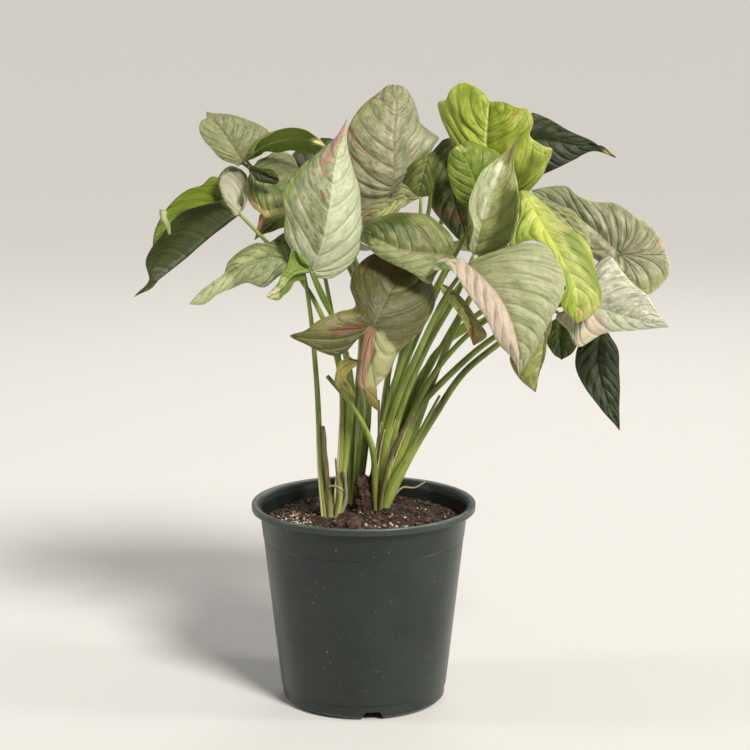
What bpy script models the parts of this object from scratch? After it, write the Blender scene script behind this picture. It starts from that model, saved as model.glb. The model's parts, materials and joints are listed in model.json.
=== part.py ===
"""A potted syngonium: variegated arrowhead leaves on long stalks, in a dark green nursery pot.

Blender 4.5 script, metres, +Z up.  The origin is on the pot's axis, in the plane it stands on.
The camera side of the plant is -Y.  Each leaf blade is one thin closed body, the leaf stalks of
each crown are one body, and the pot, the soil and the old stump are bodies of their own.
"""
import math
import random

import bmesh
import bpy
import numpy as np

MM = 0.001

# Pot, millimetres
POT_HEIGHT = 144.5
RIM_RADIUS = 80.0
RIM_BAND = 5.2
FOOT_RADIUS = 54.7
FOOT_HEIGHT = 11.0
BASE_BODY_RADIUS = 59.6
COLLAR_RADIUS = 71.6
COLLAR_HEIGHT = 120.0
COLLAR_STEP = 0.45
EASE = 0.4
RIM_EASE = 0.8
RIM_LIP = 3.6
RIM_FUNNEL = 1.2
FOOT_FLARE = 3.6
FOOT_FLARE_HEIGHT = 3.4
FOOT_EASE = 0.7
FOOT_RING = 3.0
WALL = 1.6
FLOOR_UNDER = 8.6
FLOOR_TOP = 10.4
PAD_RADIUS = 14.0
PAD_FLOOR = 1.8
PAD_EDGE = 0.6
PAD_WALL = 0.8
FLOOR_EASE = 0.2
FLOOR_FILLET = 2.2
NOTCH_WIDTH = 14.0
NOTCH_HEIGHT = 6.6
NOTCH_TAPER = 1.6
NOTCH_REACH = 9.0
NOTCH_TURN = math.radians(-83.5)
DRAIN_HOLES = 8
DRAIN_RADIUS = 3.6
DRAIN_REACH = 3.0
DRAIN_CIRCLE = 34.0
POT_SEGMENTS = 40

# Soil, millimetres
SOIL_LEVEL = 132.0
SOIL_GAP = 0.35
SOIL_SEGMENTS = 32
SOIL_RINGS = (68.0, 60.0, 50.0, 40.0, 30.0, 20.0, 10.0)
SOIL_MOUND = 1.6
SOIL_MOUND_REACH = 30.0
SOIL_LUMP = 0.75
SOIL_EDGE_DROP = 1.5
SOIL_FOOT_IN = 3.2
SOIL_FOOT_RISE = 4.4
SOIL_PEG_FOOT = 2.6
SOIL_PEG_TOP = 1.8
HOLE_ABOVE = 12.0

# Clearance between bodies that touch on the real plant, millimetres
GAP = 0.35

# Crowns: place of each stem base in the soil (x, y), radius of its plug, millimetres
CROWNS = {
    "crown_left": (-24.0, 2.0, 8.5),
    "crown_centre": (9.0, 22.0, 9.5),
    "crown_back": (-9.0, 42.0, 8.5),
}
PLUG_DEPTH = 14.0
STUMP_AT = (-1.0, 9.0)
STUMP_RADIUS = 5.0
STUMP_STRAIGHT = 5.0
STUMP_SWAY = 0.7
STUMP_SIDES = 10
STUMP_RINGS = [(-PLUG_DEPTH, 0.97), (3.5, 0.97), (8.0, 1.06), (12.0, 0.88), (17.0, 1.04), (21.0, 0.90), (26.0, 1.0),
               (29.5, 0.72)]

# Leaf blades
BLADE_THICKNESS = 0.9
BLADE_STEPS = 3
VEIN_SWEEP = 0.55
STALK_SIDES = 6
STALK_STATIONS = 8
STALK_TIP_RADIUS = 1.2
STALK_SETBACK = 0.9
SHEATH_SHARE = 0.36

# Key points of each blade, millimetres: the midrib from the stalk to the tip, then the edge of
# the left and the right half (seen from above, looking to the tip) from the lobe to near the tip.
# "bulge" arches each half between midrib and edge, "wave" is the height of the edge's ripple,
# "rows" is how many side veins carry the shape of each half.
BLADES = {
    "blade_far_left": {
        "rib": [(-86, -12, 352), (-104, -18, 339), (-124, -24, 322), (-141, -30, 309), (-157, -36, 298)],
        "left": [(-83, -14, 365), (-81, -10, 379), (-91, -8, 385), (-100, -14, 378), (-97, -26, 363),
            (-108, -36, 362), (-124, -42, 356), (-134, -43, 345), (-144, -41, 332), (-148, -39, 322),
            (-146, -38, 310)],
        "right": [(-91, -6, 364), (-98, 2, 374), (-106, 4, 376), (-112, 2, 371), (-121, 2, 368),
            (-131, 0, 361), (-140, -4, 351), (-145, -8, 339), (-146, -12, 324), (-141, -20, 310),
            (-144, -30, 304)],
        "bulge": (0.16, 0.10), "wave": 0.6, "rows": 14, "colour": "green"},
    "blade_upper_left": {
        "rib": [(-84, 8, 385), (-94, 14, 400), (-103, 19, 412), (-110, 23, 420)],
        "left": [(-87, 6, 383), (-96, 6, 387), (-105, 8, 394), (-112, 12, 402), (-115, 15, 409),
            (-114, 17, 413), (-110, 20, 416)],
        "right": [(-76, 6, 388), (-67, 10, 397), (-65, 16, 405), (-73, 20, 411), (-85, 22, 416),
            (-97, 23, 418), (-104, 23, 419)],
        "bulge": (0.08, 0.10), "wave": 1.0, "rows": 9, "colour": "silver"},
    "blade_arched": {
        "rib": [(-82, 3, 388), (-70, -6, 398), (-54, -8, 403), (-40, -6, 403), (-26, -2, 398)],
        "left": [(-77, 1, 389), (-68, 5, 393), (-55, 6, 394), (-43, 6, 392), (-33, 4, 393)],
        "right": [(-77, -9, 394), (-69, -17, 404), (-59, -21, 411), (-47, -21, 411), (-38, -17, 410),
            (-33, -9, 405)],
        "bulge": (0.12, 0.12), "wave": 1.0, "rows": 9, "colour": "green"},
    "blade_left_inner": {
        "rib": [(-79, 0, 383), (-68, 2, 374), (-57, 2, 364), (-46, 1, 352)],
        "left": [(-73, 3, 387), (-62, 20, 392), (-53, 26, 391), (-47, 20, 381), (-42, 10, 366)],
        "right": [(-81, -1, 374), (-81, 0, 364), (-78, 0, 356), (-71, -2, 351), (-68, -3, 348),
            (-59, -3, 349), (-50, -2, 353)],
        "bulge": (0.10, 0.14), "wave": 1.0, "rows": 9, "colour": "silver"},
    "blade_left_behind": {
        "rib": [(-46, 46, 350), (-63, 41, 341), (-78, 36, 328)],
        "left": [(-44, 46, 341), (-57, 44, 336), (-70, 39, 332)],
        "right": [(-51, 46, 353), (-66, 43, 350), (-74, 40, 346), (-76, 37, 337)],
        "bulge": (0.10, 0.10), "wave": 1.0, "rows": 9, "colour": "sage"},
    "blade_front_left": {
        "rib": [(-35, -36, 316), (-27, -45, 337), (-22, -47, 363), (-18, -38, 392), (-11, -24, 418)],
        "left": [(-41, -34, 314), (-46, -36, 324), (-54, -37, 342), (-53, -34, 356), (-55, -31, 368),
            (-49, -28, 380), (-31, -26, 395), (-18, -25, 408)],
        "right": [(-32, -34, 311), (-23, -34, 310), (-12, -33, 316), (-5, -31, 324), (-1, -28, 352),
            (-2, -25, 370), (-7, -23, 383), (-10, -22, 399)],
        "bulge": (0.10, 0.08), "wave": 1.0, "rows": 9, "colour": "silver"},
    "blade_low_left": {
        "rib": [(-42, -25, 319), (-64, -29, 324), (-84, -37, 318), (-100, -45, 310), (-118, -52, 295)],
        "left": [(-46, -26, 316), (-55, -28, 313), (-63, -32, 307), (-69, -36, 304), (-80, -40, 308),
            (-89, -44, 305), (-99, -48, 301), (-108, -51, 295)],
        "right": [(-44, -22, 328), (-53, -20, 340), (-66, -24, 333), (-75, -28, 333), (-84, -32, 329),
            (-93, -40, 320), (-95, -43, 314), (-107, -48, 306)],
        "bulge": (0.10, 0.10), "wave": 1.0, "rows": 9, "colour": "silver"},
    "blade_low_left_curl": {
        "rib": [(-36, -44, 317), (-48, -50, 315), (-56, -55, 306), (-65, -58, 301)],
        "left": [(-41, -47, 323), (-47, -49, 332), (-52, -54, 321), (-60, -58, 308)],
        "right": [(-40, -42, 312), (-49, -48, 306), (-56, -53, 299), (-62, -57, 299)],
        "bulge": (0.20, 0.20), "wave": 1.0, "rows": 9, "colour": "lime"},
    "blade_top_centre": {
        "rib": [(17, 6, 360), (21, 2, 380), (21, 6, 402), (23, 16, 422), (24, 28, 438)],
        "left": [(14, 4, 356), (7, 2, 350), (-1, 2, 346), (-7, 6, 356), (-12, 10, 380), (-10, 18, 410),
            (0, 23, 425), (10, 27, 433), (18, 29, 438)],
        "right": [(21, 4, 357), (27, 4, 360), (34, 6, 368), (42, 8, 385), (48, 10, 394), (53, 10, 403),
            (47, 14, 407), (40, 18, 412), (38, 22, 420), (35, 26, 429), (29, 29, 436)],
        "bulge": (0.08, 0.08), "wave": 1.0, "rows": 9, "colour": "silver"},
    "blade_centre_pale": {
        "rib": [(40, -8, 363), (25, -12, 362), (12, -18, 355), (-2, -20, 347)],
        "left": [(32, -12, 360), (21, -18, 352), (14, -21, 349), (5, -20, 349)],
        "right": [(33, -8, 367), (26, -6, 373), (20, -12, 364), (10, -15, 362), (2, -18, 357)],
        "bulge": (0.14, 0.14), "wave": 1.0, "rows": 9, "colour": "cream"},
    "blade_lime_top": {
        "rib": [(106, 20, 355), (94, 16, 376), (86, 10, 398), (87, 8, 417), (88, 10, 428)],
        "left": [(82, 22, 378), (69, 18, 399), (61, 16, 404), (56, 14, 413), (53, 13, 419),
            (52, 12, 427), (58, 10, 430), (61, 6, 437), (73, 2, 441), (81, 4, 436)],
        "right": [(116, 25, 360), (124, 23, 374), (131, 21, 384), (132, 20, 395), (125, 14, 397),
            (116, 12, 405), (118, 12, 413), (116, 11, 421), (105, 9, 425), (96, 9, 428)],
        "bulge": (0.18, 0.12), "wave": 2.2, "rows": 14, "colour": "lime"},
    "blade_dark_top_right": {
        "rib": [(98, 54, 390), (126, 52, 398), (155, 49, 394), (171, 47, 393), (180, 44, 386)],
        "left": [(101, 54, 409), (112, 54, 416), (121, 54, 417), (130, 53, 414), (148, 51, 404),
            (162, 49, 398)],
        "right": [(105, 54, 372), (123, 52, 371), (135, 50, 376), (151, 49, 384), (163, 48, 390)],
        "bulge": (0.08, 0.10), "wave": 1.0, "rows": 9, "colour": "dark"},
    "blade_lime_inner": {
        "rib": [(82, -6, 357), (77, -11, 374), (70, -13, 391), (65, -10, 399)],
        "left": [(75, -9, 354), (65, -12, 362), (60, -13, 373), (58, -12, 386), (60, -10, 395)],
        "right": [(89, -4, 364), (95, -3, 378), (95, -3, 391), (84, -5, 398), (74, -7, 402)],
        "bulge": (0.14, 0.12), "wave": 1.0, "rows": 9, "colour": "lime"},
    "blade_upright_right": {
        "rib": [(76, -28, 326), (80, -36, 345), (83, -40, 361), (91, -38, 381), (99, -31, 396),
            (106, -27, 406)],
        "left": [(73, -38, 332), (74, -47, 348), (72, -49, 364), (78, -45, 382), (91, -36, 392)],
        "right": [(82, -28, 323), (89, -31, 325), (99, -36, 334), (105, -42, 353), (105, -42, 373),
            (102, -35, 391)],
        "bulge": (-0.08, -0.08), "wave": 1.0, "rows": 9, "colour": "cream"},
    "blade_lime_hanging": {
        "rib": [(110, -10, 368), (122, -22, 348), (136, -34, 324), (146, -40, 302), (147, -40, 280)],
        "left": [(118, -6, 364), (131, -12, 353), (144, -18, 341), (155, -23, 331), (161, -30, 312),
            (163, -34, 293), (155, -38, 283)],
        "right": [(108, -12, 358), (107, -20, 343), (100, -28, 332), (117, -32, 335), (128, -37, 330),
            (135, -42, 320), (138, -44, 308), (135, -44, 294), (141, -42, 285)],
        "bulge": (0.10, 0.10), "wave": 1.0, "rows": 9, "colour": "lime"},
    "blade_olive_behind": {
        "rib": [(124, 6, 359), (141, 2, 346), (151, -3, 329), (157, -6, 311)],
        "left": [(132, 8, 356), (147, 6, 351), (156, 2, 339), (159, -3, 324)],
        "right": [(124, 0, 350), (134, -4, 336), (146, -7, 319)],
        "bulge": (0.10, 0.10), "wave": 1.0, "rows": 9, "colour": "olive"},
    "blade_right": {
        "rib": [(180, 8, 321), (167, 12, 334), (146, 20, 350), (119, 28, 364)],
        "left": [(213, 1, 321), (215, 0, 314), (208, -3, 300), (199, -4, 294), (188, -2, 301),
            (172, 4, 311), (156, 12, 324), (139, 19, 341), (125, 25, 354)],
        "right": [(213, 3, 321), (211, 4, 328), (203, 8, 340), (192, 12, 347), (176, 16, 357),
            (167, 18, 357), (159, 19, 358), (150, 22, 362), (145, 26, 367), (132, 28, 367)],
        "bulge": (0.08, 0.08), "wave": 1.0, "rows": 9, "colour": "silver"},
    "blade_pale_right": {
        "rib": [(154, -14, 289), (173, -19, 284), (195, -23, 278), (212, -25, 275)],
        "left": [(154, -12, 299), (159, -9, 312), (165, -9, 319), (171, -11, 322), (179, -15, 313),
            (187, -17, 304), (197, -20, 296), (204, -23, 284)],
        "right": [(145, -16, 288), (134, -18, 281), (142, -22, 272), (148, -24, 261), (166, -24, 270),
            (188, -24, 272), (202, -25, 274)],
        "bulge": (0.08, 0.10), "wave": 1.0, "rows": 9, "colour": "cream"},
    "blade_dark_low": {
        "rib": [(141, 18, 276), (140, 16, 259), (141, 12, 245)],
        "left": [(148, 18, 271), (153, 15, 259), (149, 13, 250)],
        "right": [(133, 18, 271), (130, 15, 260), (134, 13, 250)],
        "bulge": (0.10, 0.10), "wave": 1.0, "rows": 9, "colour": "dark"},
    "blade_dark_hanging": {
        "rib": [(169, 20, 265), (167, 17, 244), (173, 14, 219), (183, 10, 194)],
        "left": [(176, 22, 262), (181, 20, 253), (183, 17, 235), (183, 14, 215)],
        "right": [(160, 20, 263), (152, 17, 251), (151, 16, 242), (157, 14, 226), (169, 12, 210)],
        "bulge": (0.10, 0.10), "wave": 1.0, "rows": 9, "colour": "dark"},
    "blade_front_right": {
        "rib": [(71, -46, 321), (82, -57, 312), (91, -63, 302), (100, -67, 285), (105, -63, 265),
            (106, -55, 247)],
        "left": [(75, -45, 325), (91, -46, 331), (113, -46, 336), (121, -47, 335), (131, -50, 326),
            (136, -54, 315), (135, -56, 303), (128, -59, 288), (120, -58, 270), (112, -56, 257)],
        "right": [(62, -50, 326), (52, -55, 326), (47, -59, 320), (59, -62, 319), (68, -67, 309),
            (79, -73, 293), (90, -73, 273), (101, -65, 260)],
        "bulge": (0.12, 0.22), "wave": 1.0, "rows": 9, "colour": "sage"},
    "blade_behind_front_right": {
        "rib": [(124, -40, 296), (124, -45, 276), (122, -47, 256), (118, -46, 233)],
        "left": [(129, -38, 292), (129, -41, 281), (126, -44, 267), (121, -46, 248)],
        "right": [(114, -42, 284), (104, -48, 266), (100, -50, 258), (107, -49, 243)],
        "bulge": (0.10, 0.10), "wave": 1.0, "rows": 9, "colour": "lime"},
    "blade_centre": {
        "rib": [(61, -36, 326), (46, -41, 328), (26, -43, 331), (12, -40, 337), (0, -36, 342)],
        "left": [(57, -40, 322), (51, -45, 317), (46, -49, 309), (34, -50, 315), (20, -47, 322),
            (5, -41, 331)],
        "right": [(63, -33, 331), (61, -30, 337), (55, -27, 345), (46, -26, 352), (33, -27, 354),
            (20, -29, 355), (12, -31, 352), (2, -34, 347)],
        "bulge": (0.12, 0.12), "wave": 1.0, "rows": 9, "colour": "sage"},
    "blade_low_centre": {
        "rib": [(7, -56, 281), (14, -47, 295), (20, -38, 305), (27, -28, 316), (33, -18, 328)],
        "left": [(3, -58, 279), (-5, -62, 271), (-18, -67, 262), (-28, -70, 265), (-38, -74, 271),
            (-49, -78, 278), (-40, -74, 280), (-29, -68, 287), (-17, -62, 291), (-5, -52, 294),
            (-9, -40, 305), (-6, -32, 316), (6, -22, 325)],
        "right": [(1, -59, 276), (-3, -65, 260), (-3, -70, 241), (11, -70, 225), (9, -68, 240),
            (17, -66, 249), (24, -60, 263), (32, -54, 270), (42, -44, 279), (50, -32, 298),
            (47, -28, 307), (43, -20, 320)],
        "bulge": (0.06, 0.06), "wave": 0.6, "rows": 20, "colour": "olive"},
    "blade_narrow_curl": {
        "rib": [(54, -22, 304), (65, -30, 296), (73, -36, 283), (76, -38, 264)],
        "left": [(59, -24, 303), (69, -31, 295), (79, -36, 281), (85, -36, 270)],
        "right": [(55, -24, 298), (62, -31, 290), (70, -37, 278)],
        "bulge": (0.20, 0.20), "wave": 0.5, "rows": 8, "colour": "lime"},
    "blade_withered": {
        "rib": [(-2, -34, 252), (-11, -38, 253), (-17, -40, 244), (-12, -38, 234), (-5, -34, 227)],
        "left": [(-8, -32, 249), (-12, -34, 242), (-9, -34, 235)],
        "right": [(-9, -42, 257), (-17, -45, 253), (-19, -45, 241), (-13, -41, 231)],
        "bulge": (0.20, 0.20), "wave": 0.4, "rows": 8, "colour": "straw"},
    "blade_left_back": {
        "rib": [(-39, 58, 349), (-38, 64, 374), (-30, 68, 398)],
        "left": [(-48, 60, 354), (-53, 63, 368), (-53, 66, 384), (-43, 69, 393)],
        "right": [(-30, 60, 354), (-21, 63, 368), (-17, 67, 386), (-22, 69, 397)],
        "bulge": (0.10, 0.10), "wave": 1.0, "rows": 9, "colour": "green"},
    "blade_green_inner": {
        "rib": [(46, 0, 395), (42, -3, 380), (38, -2, 362)],
        "left": [(50, 0, 392), (50, -2, 377), (46, -2, 364)],
        "right": [(40, 1, 390), (30, 1, 381), (28, 1, 370), (32, 0, 362)],
        "bulge": (0.14, 0.14), "wave": 1.0, "rows": 9, "colour": "green"},
    "blade_dark_inner": {
        "rib": [(63, 32, 401), (61, 24, 382), (64, 14, 359), (71, 6, 337), (74, 1, 324)],
        "left": [(70, 34, 399), (74, 27, 382), (78, 17, 362), (77, 7, 340)],
        "right": [(55, 32, 399), (47, 28, 389), (45, 20, 372), (47, 12, 355), (60, 6, 339)],
        "bulge": (0.12, 0.12), "wave": 1.0, "rows": 9, "colour": "dark"},
}

# Leaf stalks: crown, radius, what the sheath adds to it near the crown, and key points between
# the crown and the blade, millimetres
STALKS = {
    "blade_far_left": ("crown_left", 2.4, 1.0, [(-16, 4, 178), (-19, -8, 251), (-43, -10, 305),
        (-66, -10, 331)]),
    "blade_low_left": ("crown_left", 2.4, 1.0, [(-30, -2, 165), (-33, -12, 235), (-38, -20, 293)]),
    "blade_front_left": ("crown_left", 2.5, 0.8, [(-13, 4, 174), (-10, -8, 220), (-14, -20, 261),
        (-24, -30, 290)]),
    "blade_low_left_curl": ("crown_left", 2.0, 0.4, [(-12, 2, 181), (-8, -14, 232), (-17, -30, 274),
        (-30, -40, 301)]),
    "blade_upper_left": ("crown_back", 2.4, 0.8, [(-9, 44, 179), (-2, 50, 260), (-5, 52, 296),
        (-21, 50, 335), (-54, 40, 362), (-77, 22, 378)]),
    "blade_arched": ("crown_back", 2.4, 0.8, [(-4, 40, 180), (2, 42, 261), (-3, 42, 298),
        (-18, 40, 333), (-51, 30, 363), (-76, 17, 379)]),
    "blade_left_inner": ("crown_back", 2.4, 0.8, [(-7, 48, 179), (-1, 58, 259), (-5, 60, 298),
        (-25, 60, 330), (-52, 56, 354), (-72, 34, 364), (-78, 12, 376)]),
    "blade_left_behind": ("crown_back", 2.4, 0.8, [(-5, 52, 178), (2, 62, 258), (-10, 62, 302),
        (-28, 58, 329)]),
    "blade_left_back": ("crown_back", 2.4, 0.8, [(-2, 54, 177), (3, 62, 265), (-10, 56, 318)]),
    "blade_top_centre": ("crown_back", 2.7, 1.2, [(2, 36, 189), (6, 26, 286), (14, 12, 338)]),
    "blade_low_centre": ("crown_back", 2.4, 0.8, [(1, 17, 193), (7, -26, 241)]),
    "blade_centre_pale": ("crown_centre", 2.4, 0.8, [(19, 16, 200), (31, 6, 275), (39, -4, 333)]),
    "blade_lime_top": ("crown_centre", 2.5, 1.0, [(25, 22, 201), (46, 22, 261), (86, 24, 322)]),
    "blade_dark_top_right": ("crown_centre", 2.6, 0.8, [(23, 40, 210), (48, 50, 282), (84, 56, 351)]),
    "blade_lime_inner": ("crown_centre", 2.4, 1.0, [(21, 10, 216), (38, 2, 268), (66, -6, 326)]),
    "blade_upright_right": ("crown_centre", 2.6, 1.4, [(26, 2, 209), (45, -8, 258), (68, -20, 303)]),
    "blade_front_right": ("crown_centre", 3.2, 2.4, [(19, -4, 205), (39, -26, 259), (59, -40, 303)]),
    "blade_centre": ("crown_centre", 3.0, 2.4, [(15, 0, 204), (32, -16, 261), (52, -28, 305)]),
    "blade_lime_hanging": ("crown_centre", 2.7, 1.0, [(33, 16, 183), (61, 2, 261), (95, -6, 333)]),
    "blade_right": ("crown_centre", 3.0, 1.2, [(33, 17, 174), (52, 15, 206), (72, 13, 236),
        (95, 11, 256), (139, 12, 288)]),
    "blade_pale_right": ("crown_centre", 3.0, 1.2, [(27, 12, 179), (43, 6, 216), (57, 2, 232),
        (92, -4, 264), (137, 6, 285)]),
    "blade_dark_hanging": ("crown_centre", 2.7, 0.8, [(43, 32, 232), (65, 36, 259), (83, 38, 274),
        (127, 38, 295), (161, 30, 285)]),
    "blade_dark_low": ("crown_centre", 2.4, 0.8, [(40, 26, 219), (48, 28, 242), (83, 30, 269),
        (123, 28, 286)]),
    "blade_behind_front_right": ("crown_centre", 2.6, 0.8, [(33, 8, 202), (54, -4, 244), (95, -26, 285)]),
    "blade_narrow_curl": ("crown_centre", 2.0, 0.4, [(22, 2, 218), (40, -14, 271)]),
    "blade_green_inner": ("crown_centre", 2.4, 0.8, [(15, 24, 213), (31, 14, 295), (47, 6, 363)]),
    "blade_dark_inner": ("crown_centre", 2.4, 0.8, [(20, 32, 212), (44, 36, 299), (60, 38, 363)]),
    "blade_olive_behind": ("crown_centre", 2.3, 0.8, [(31, 24, 199), (63, 18, 267), (102, 8, 331)]),
    "blade_withered": ("crown_back", 1.8, 0.4, [(-3, 14, 186), (0, -16, 225)]),
}

# Cut stubs, dry sheaths and roots joined to a crown: key points, first and last radius, millimetres
STUBS = [
    ("crown_centre", 2.6, 1.5, [(8, 8, 151), (6, -4, 185), (-9, -18, 219), (-25, -25, 240)]),
    ("crown_left", 3.0, 1.9, [(-25, -4, 146), (-27, -7, 169), (-29, -10, 201)]),
    ("crown_left", 1.6, 0.9, [(-19, -4, 146), (-19, -8, 162), (-20, -10, 178)]),
    ("crown_left", 1.8, 1.2, [(-13, 2, 145), (-13, 0, 156), (-14, -2, 168)]),
    ("crown_left", 1.2, 0.8, [(-24, -8, 157), (-19, -12, 158), (-14, -13, 155)]),
    ("crown_centre", 2.6, 1.4, [(13, 4, 152), (22, -6, 187), (35, -12, 211)]),
    ("crown_centre", 2.4, 0.9, [(20, 6, 157), (32, 4, 179), (54, 2, 221)]),
    ("crown_centre", 2.0, 0.9, [(10, 10, 150), (11, 2, 189), (11, -4, 219)]),
    ("crown_centre", 2.0, 0.8, [(9, 20, 155), (15, 12, 194), (19, 6, 236)]),
    ("crown_centre", 1.0, 0.6, [(23, 30, 142), (28, 34, 146), (37, 38, 145), (45, 44, 148)]),
    ("crown_back", 2.2, 1.0, [(6, 34, 159), (3, 26, 191), (4, 22, 208)]),
]


# Overall colour of a blade, linear red, green and blue
LEAF_COLOURS = {
    "silver": (0.42, 0.46, 0.30),
    "cream": (0.60, 0.61, 0.40),
    "sage": (0.27, 0.34, 0.15),
    "lime": (0.36, 0.48, 0.04),
    "green": (0.11, 0.20, 0.03),
    "dark": (0.045, 0.09, 0.02),
    "olive": (0.17, 0.17, 0.06),
    "straw": (0.38, 0.33, 0.12),
}

# Leaves on the far side of the plant: crown, base of the blade, its tip and its width, millimetres
FAR_LEAVES = {
    "blade_back_left": ("crown_back", (-34, 66, 322), (-78, 116, 286), 84),
    "blade_back_centre": ("crown_back", (22, 84, 336), (28, 144, 292), 82),
    "blade_back_right": ("crown_centre", (92, 62, 322), (138, 112, 280), 80),
}
# Outline of an arrowhead blade: share of its length forward of the base, share of its width
ARROWHEAD = [(-0.16, 0.10), (-0.30, 0.26), (-0.20, 0.42), (0.08, 0.50), (0.38, 0.41), (0.70, 0.21)]
ARROW_ARCH = 0.10
ARROW_DROOP = 0.45
ARROW_ROWS = 8
FAR_STALK_RADIUS = 2.4
FAR_STALK_SHEATH = 0.8
FAR_STALK_LOW = 190.0
FAR_STALK_LOW_REACH = (0.18, 0.30)
FAR_STALK_HIGH_REACH = 0.70
FAR_STALK_DROP = 34.0


def clear_scene():
    """Remove what the file holds before the model is made."""
    for item in list(bpy.data.objects):
        bpy.data.objects.remove(item, do_unlink=True)


def material(name, colour, roughness, metallic=0.0):
    """Principled material in the part's own colour (linear RGB)."""
    made = bpy.data.materials.new(name)
    made.use_nodes = True
    shader = made.node_tree.nodes["Principled BSDF"]
    shader.inputs["Base Color"].default_value = (*colour, 1.0)
    shader.inputs["Roughness"].default_value = roughness
    shader.inputs["Metallic"].default_value = metallic
    return made


def mesh_object(name, points, faces, paint, smooth=True):
    """Object from points in millimetres and faces, its normals made to point out."""
    mesh = bpy.data.meshes.new(name)
    mesh.from_pydata([tuple(float(c) * MM for c in p) for p in points], [], faces)
    work = bmesh.new()
    work.from_mesh(mesh)
    bmesh.ops.recalc_face_normals(work, faces=work.faces)
    work.to_mesh(mesh)
    work.free()
    mesh.materials.append(paint)
    if smooth:
        mesh.shade_smooth()
        mesh.set_sharp_from_angle(angle=math.radians(40))
    made = bpy.data.objects.new(name, mesh)
    bpy.context.scene.collection.objects.link(made)
    return made


def turned(name, profile, segments, paint, lift=None):
    """Solid turned about Z from a closed (radius, z) profile; points at radius 0 are shared.

    lift(radius, height, turn) is what a point is raised by.
    """
    points = []
    rings = []
    for radius, height in profile:
        if radius <= 0.0:
            rings.append([len(points)])
            points.append((0.0, 0.0, height))
            continue
        ring = []
        for k in range(segments):
            turn = math.tau * k / segments
            rise = lift(radius, height, turn) if lift else 0.0
            ring.append(len(points))
            points.append((radius * math.cos(turn), radius * math.sin(turn), height + rise))
        rings.append(ring)
    faces = []
    for ring, after in zip(rings, rings[1:] + rings[:1]):
        if len(ring) == 1 and len(after) == 1:
            continue
        for k in range(segments):
            quad = [ring[k % len(ring)], ring[(k + 1) % segments % len(ring)],
                    after[(k + 1) % segments % len(after)], after[k % len(after)]]
            face = []
            for corner in quad:
                if corner not in face:
                    face.append(corner)
            faces.append(face)
    return mesh_object(name, points, faces, paint)


def apply_boolean(target, collection, operation, solver="EXACT"):
    """Join or cut target with every object of a collection, then remove those objects."""
    step = target.modifiers.new("join", "BOOLEAN")
    step.operation = operation
    step.solver = solver
    step.operand_type = "COLLECTION"
    step.collection = collection
    bpy.context.view_layer.update()
    graph = bpy.context.evaluated_depsgraph_get()
    result = bpy.data.meshes.new_from_object(target.evaluated_get(graph), depsgraph=graph)
    target.modifiers.remove(step)
    old = target.data
    target.data = result
    bpy.data.meshes.remove(old)
    for item in list(collection.objects):
        bpy.data.objects.remove(item, do_unlink=True)
    bpy.data.collections.remove(collection)


def gather(name, items):
    """Move objects to a collection of their own."""
    made = bpy.data.collections.new(name)
    bpy.context.scene.collection.children.link(made)
    for item in items:
        bpy.context.scene.collection.objects.unlink(item)
        made.objects.link(item)
    return made


def spline(keys, count):
    """Smooth curve through key points: count points, evenly spread by chord length."""
    keys = np.asarray(keys, float)
    chord = np.r_[0.0, np.cumsum(np.linalg.norm(np.diff(keys, axis=0), axis=1))]
    slope = np.gradient(keys, chord, axis=0)
    at = np.linspace(0.0, chord[-1], count)
    cell = np.clip(np.searchsorted(chord, at, side="right") - 1, 0, len(keys) - 2)
    span = (chord[cell + 1] - chord[cell])[:, None]
    t = (at - chord[cell])[:, None] / span
    start = (2 * t**3 - 3 * t**2 + 1) * keys[cell] + (t**3 - 2 * t**2 + t) * span * slope[cell]
    return start + (3 * t**2 - 2 * t**3) * keys[cell + 1] + (t**3 - t**2) * span * slope[cell + 1]


def rib_share(edge, rib):
    """Where along the midrib (0 to 1) the side vein starts that ends at each edge point."""
    steps = np.linspace(0.0, 1.0, len(rib))
    length = np.linalg.norm(np.diff(rib, axis=0), axis=1).sum()
    gap = np.linalg.norm(edge[:, None, :] - rib[None, :, :], axis=2)
    share = steps[gap.argmin(axis=1)] - VEIN_SWEEP * gap.min(axis=1) / length
    return np.maximum.accumulate(np.clip(share, 0.0, 1.0))


def half_blade(edge, root, side, bulge, ripple):
    """Rows of points from midrib to edge of one half; side is 1 for left and -1 for right."""
    reach = edge - root
    along = np.gradient(edge, axis=0)
    up = np.cross(along, reach) * side
    up /= np.linalg.norm(up, axis=1)[:, None] + 1e-9
    size = np.linalg.norm(reach, axis=1)[:, None]
    rows = []
    for step in range(1, BLADE_STEPS + 1):
        r = step / BLADE_STEPS
        rows.append(root + r * reach + up * (bulge * 4 * r * (1 - r) * size + ripple * r * r))
    return np.stack(rows, axis=1)


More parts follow.
